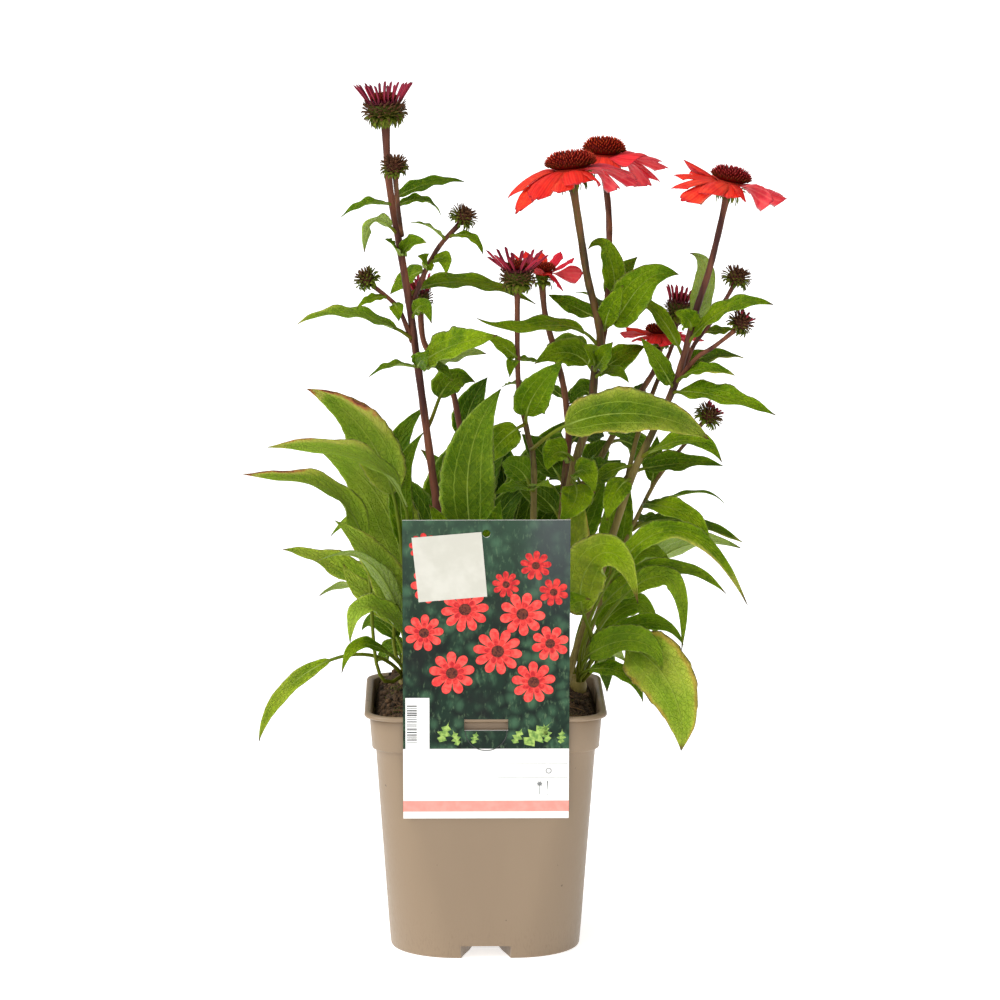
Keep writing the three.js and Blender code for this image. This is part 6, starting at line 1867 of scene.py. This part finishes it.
# ---------------------------------------------------------------- young heads
# A young head is a bristling cup of curled bracts, with a few broad green ones that hang at its
# foot. Its rays are still narrow maroon tubes that stand up round a small dark dome.
YOUNG_HEADS = {  # stem, branch, size, rays, spread and height of the rays, how red, how uneven
    "young_top": ("stem_tall_left", 0, 1, 24, 18.6, 13.6, 0.1, 0.15),
    "young_left": ("stem_young_left", 0, 0.62, 16, 15, 12, 0.3, 0.3),
    "young_front": ("stem_front", 0, 0.78, 18, 20, 15, 0.3, 0.95),
    "young_right": ("stem_right", 3, 0.66, 16, 10.5, 12, 0.3, 0.2),
}
YOUNG_CUP_TOP = 9.6
HANGING_BRACTS = 9  # broad green ones round the foot of the cup
YOUNG_DOME = (7.6, 3.5)  # radius and height
YOUNG_FLORETS = 90
YOUNG_FLORET_REACH = 1.7
YOUNG_DARKNESS = 0.85
YOUNG_CUP_BRACTS = 150
INNER_TIPS = 34  # short points between the rays and the dome
YOUNG_RING = 1.4  # height of the ring that the rays stand on


def blunt(t):
    """Width of a rolled young ray along it."""
    return (0.62 + 0.38 * min(t * 2, 1)) * math.sqrt(max(1 - max(t - 0.9, 0) ** 2 / 0.0101, 0))


young_finish, tree, shader = finish_of("maroon_ray", specular_ior_level=0.1)
lines, relief = ribbed(tree, 2, 2.0)
_, grain = mottled(tree, 5, 0.5)
base = washed(
    tree, blend(tree, mark_of(tree, "tint"), colour(98, 18, 42), colour(186, 38, 56)),
    (times(tree, lines, 0.4), colour(190, 92, 112)),
    (eased(tree, mark_of(tree, "under"), 0.4, 0.6, high=0.5), colour(132, 40, 66)),
    (eased(tree, mark_of(tree, "along"), 0.5, 0.0, high=0.85), colour(58, 24, 22)),
)
wear(tree, shader, grain, base, (0.45, 0.6), (relief, 0.1), (grain, 0.1))

for number, (name, young) in enumerate(YOUNG_HEADS.items()):
    stem, branch, size, rays, spread, tall, red, uneven = young
    place = head_frame(stem, branch)
    cup_form = Form("along", "across", "tint", "ruddy")
    cup_profile = [(2.3, -0.4)] + [(r * size, h) for r, h in (
        (4.0, 0.6), (6.6, 1.8), (9.4, 4.2), (10.6, 7.4), (10.2, YOUNG_CUP_TOP),
    )]
    add_turned(cup_form, place, cup_profile, ruddy=0.5, across=BETWEEN_RIBS)
    add_burr(cup_form, place, cup_profile[1:], round(YOUNG_CUP_BRACTS * size), (-1.5, 1.2),
             (6.2 * size, 4.2 * size), (4.2 * size ** 0.5, 1.6 * size ** 0.5), 1.8, (-0.3, 1.6),
             300 * number)
    for k in range(HANGING_BRACTS):
        turn = 2 * math.pi * (k + 0.6 * draw(k, 41)) / HANGING_BRACTS
        end = ((7.2 + 1.6 * draw(k, 42)) * size, (-3.2 - 2.6 * draw(k, 43)) * size)
        add_bract(cup_form, place, turn, (5.6 * size, 2.0), end, 4.4 * size ** 0.5, 3.4 * size,
                  tint=0.5 + 0.5 * draw(k, 44), ruddy=-0.4)
    dress(cup_form.make(name + "_cup", bract_finish), name + "_bracts")

    ray_form = Form("along", "across", "under", "tint")
    base_height = YOUNG_CUP_TOP + GAP
    add_turned(ray_form, place, [
        (9.4 * size, base_height), (10.2 * size, base_height + 0.4), (10.0 * size, base_height + 1.2),
        (8.8 * size, base_height + YOUNG_RING),
    ])
    for k in range(rays):
        angle = (2 * k + 0.5 * (draw(k, number) - 0.5)) / rays * math.pi
        level = uneven * (draw(k, 11) - 0.5)
        reach = 1 - 0.25 * uneven * draw(k, 12)
        end = (10 * size + (spread - 10 * size) * (1 + 0.3 * level) * reach,
               base_height + tall * (1 - 0.7 * max(level, 0)) * (0.92 + 0.1 * draw(k, 15)) * reach)
        add_bract(ray_form, place, angle, (9.8 * size, base_height + 0.4), end, 1.7 + 0.6 * uneven, -1.0,
                  (0.2 + 0.3 * uneven) * (draw(k, 13) - 0.5), rows=9, shape=blunt, channel=0.9,
                  tint=min(red + 0.4 * draw(k, 14), 1))
    for k in range(round(INNER_TIPS * size)):
        turn = k * GOLDEN_TURN
        end = ((10.6 + 1.8 * draw(k, 21)) * size, base_height + (2.6 + 2.2 * draw(k, 22)) * size)
        add_bract(ray_form, place, turn, (9.9 * size, base_height + 0.3), end, 1.3 * size, -0.4, rows=5)
    dress(ray_form.make(name + "_petals", young_finish), name + "_rays")

    cone_form = Form("along", "tint", "low", "maroon")
    radius, height = YOUNG_DOME
    add_cone(cone_form, place, base_height + YOUNG_RING + GAP, radius * size, height,
             round(YOUNG_FLORETS * size), YOUNG_FLORET_REACH, YOUNG_DARKNESS)
    dress(cone_form.make(name + "_florets", cone_finish), name + "_cone")

# ---------------------------------------------------------------- buds
# A bud is a ball of stiff bracts that curl away from a dark dimple, purple-brown above and
# greener below. On two of them the first maroon rays stand up out of it.
BUDS = {  # stem, branch, size, turned towards upright, how purple-brown, count of first rays
    "bud_top": ("stem_tall_left", 1, 1, 0, 1.0, 0),
    "bud_branch": ("stem_tall_left", 2, 1, 0.4, 0.95, 0),
    "bud_left": ("stem_tall_left", 3, 0.9, 0.3, 0.55, 0),
    "bud_right_upper": ("stem_right", 1, 1.05, 0.4, 1.0, 0),
    "bud_right_lower": ("stem_right", 2, 0.95, 0.4, 1.1, 7),
    "bud_low": ("stem_low_right", 0, 1.05, 0, 0.9, 12),
}
BUD_BRACTS = 100
for number, (name, (stem, branch, size, upright, ruddy, first_rays)) in enumerate(BUDS.items()):
    place = head_frame(stem, branch, upright)
    bud_form = Form("along", "across", "under", "tint", "ruddy")
    bud_profile = [(r * size, h) for r, h in (
        (1.4, -0.3), (3.2, 1.2), (4.8, 3.2), (5.2, 5.6), (4.4, 7.8), (2.6, 8.8), (1.0, 7.8),
    )]
    add_turned(bud_form, place, bud_profile, ruddy=1.2, across=BETWEEN_RIBS)
    add_burr(bud_form, place, bud_profile[1:-1], BUD_BRACTS, (-0.9, 1.25), (4.4 * size, 3.8 * size),
             (2.6, 1.7), 1.7, (ruddy - 1.1, ruddy + 0.4), 500 * number)
    for k in range(first_rays):
        turn = 2 * math.pi * (k + 0.4 * draw(k, 31)) / first_rays
        end = (5.6 + 1.2 * draw(k, 32), 12.0 + 1.4 * draw(k, 33))
        add_bract(bud_form, place, turn, (3.4 * size, 8.2 * size), end, 1.5, 0.4, shape=blunt,
                  channel=0.9, coat=1, tint=0.4)
    dress(bud_form.make(name + "_ball", bract_finish, young_finish), name)
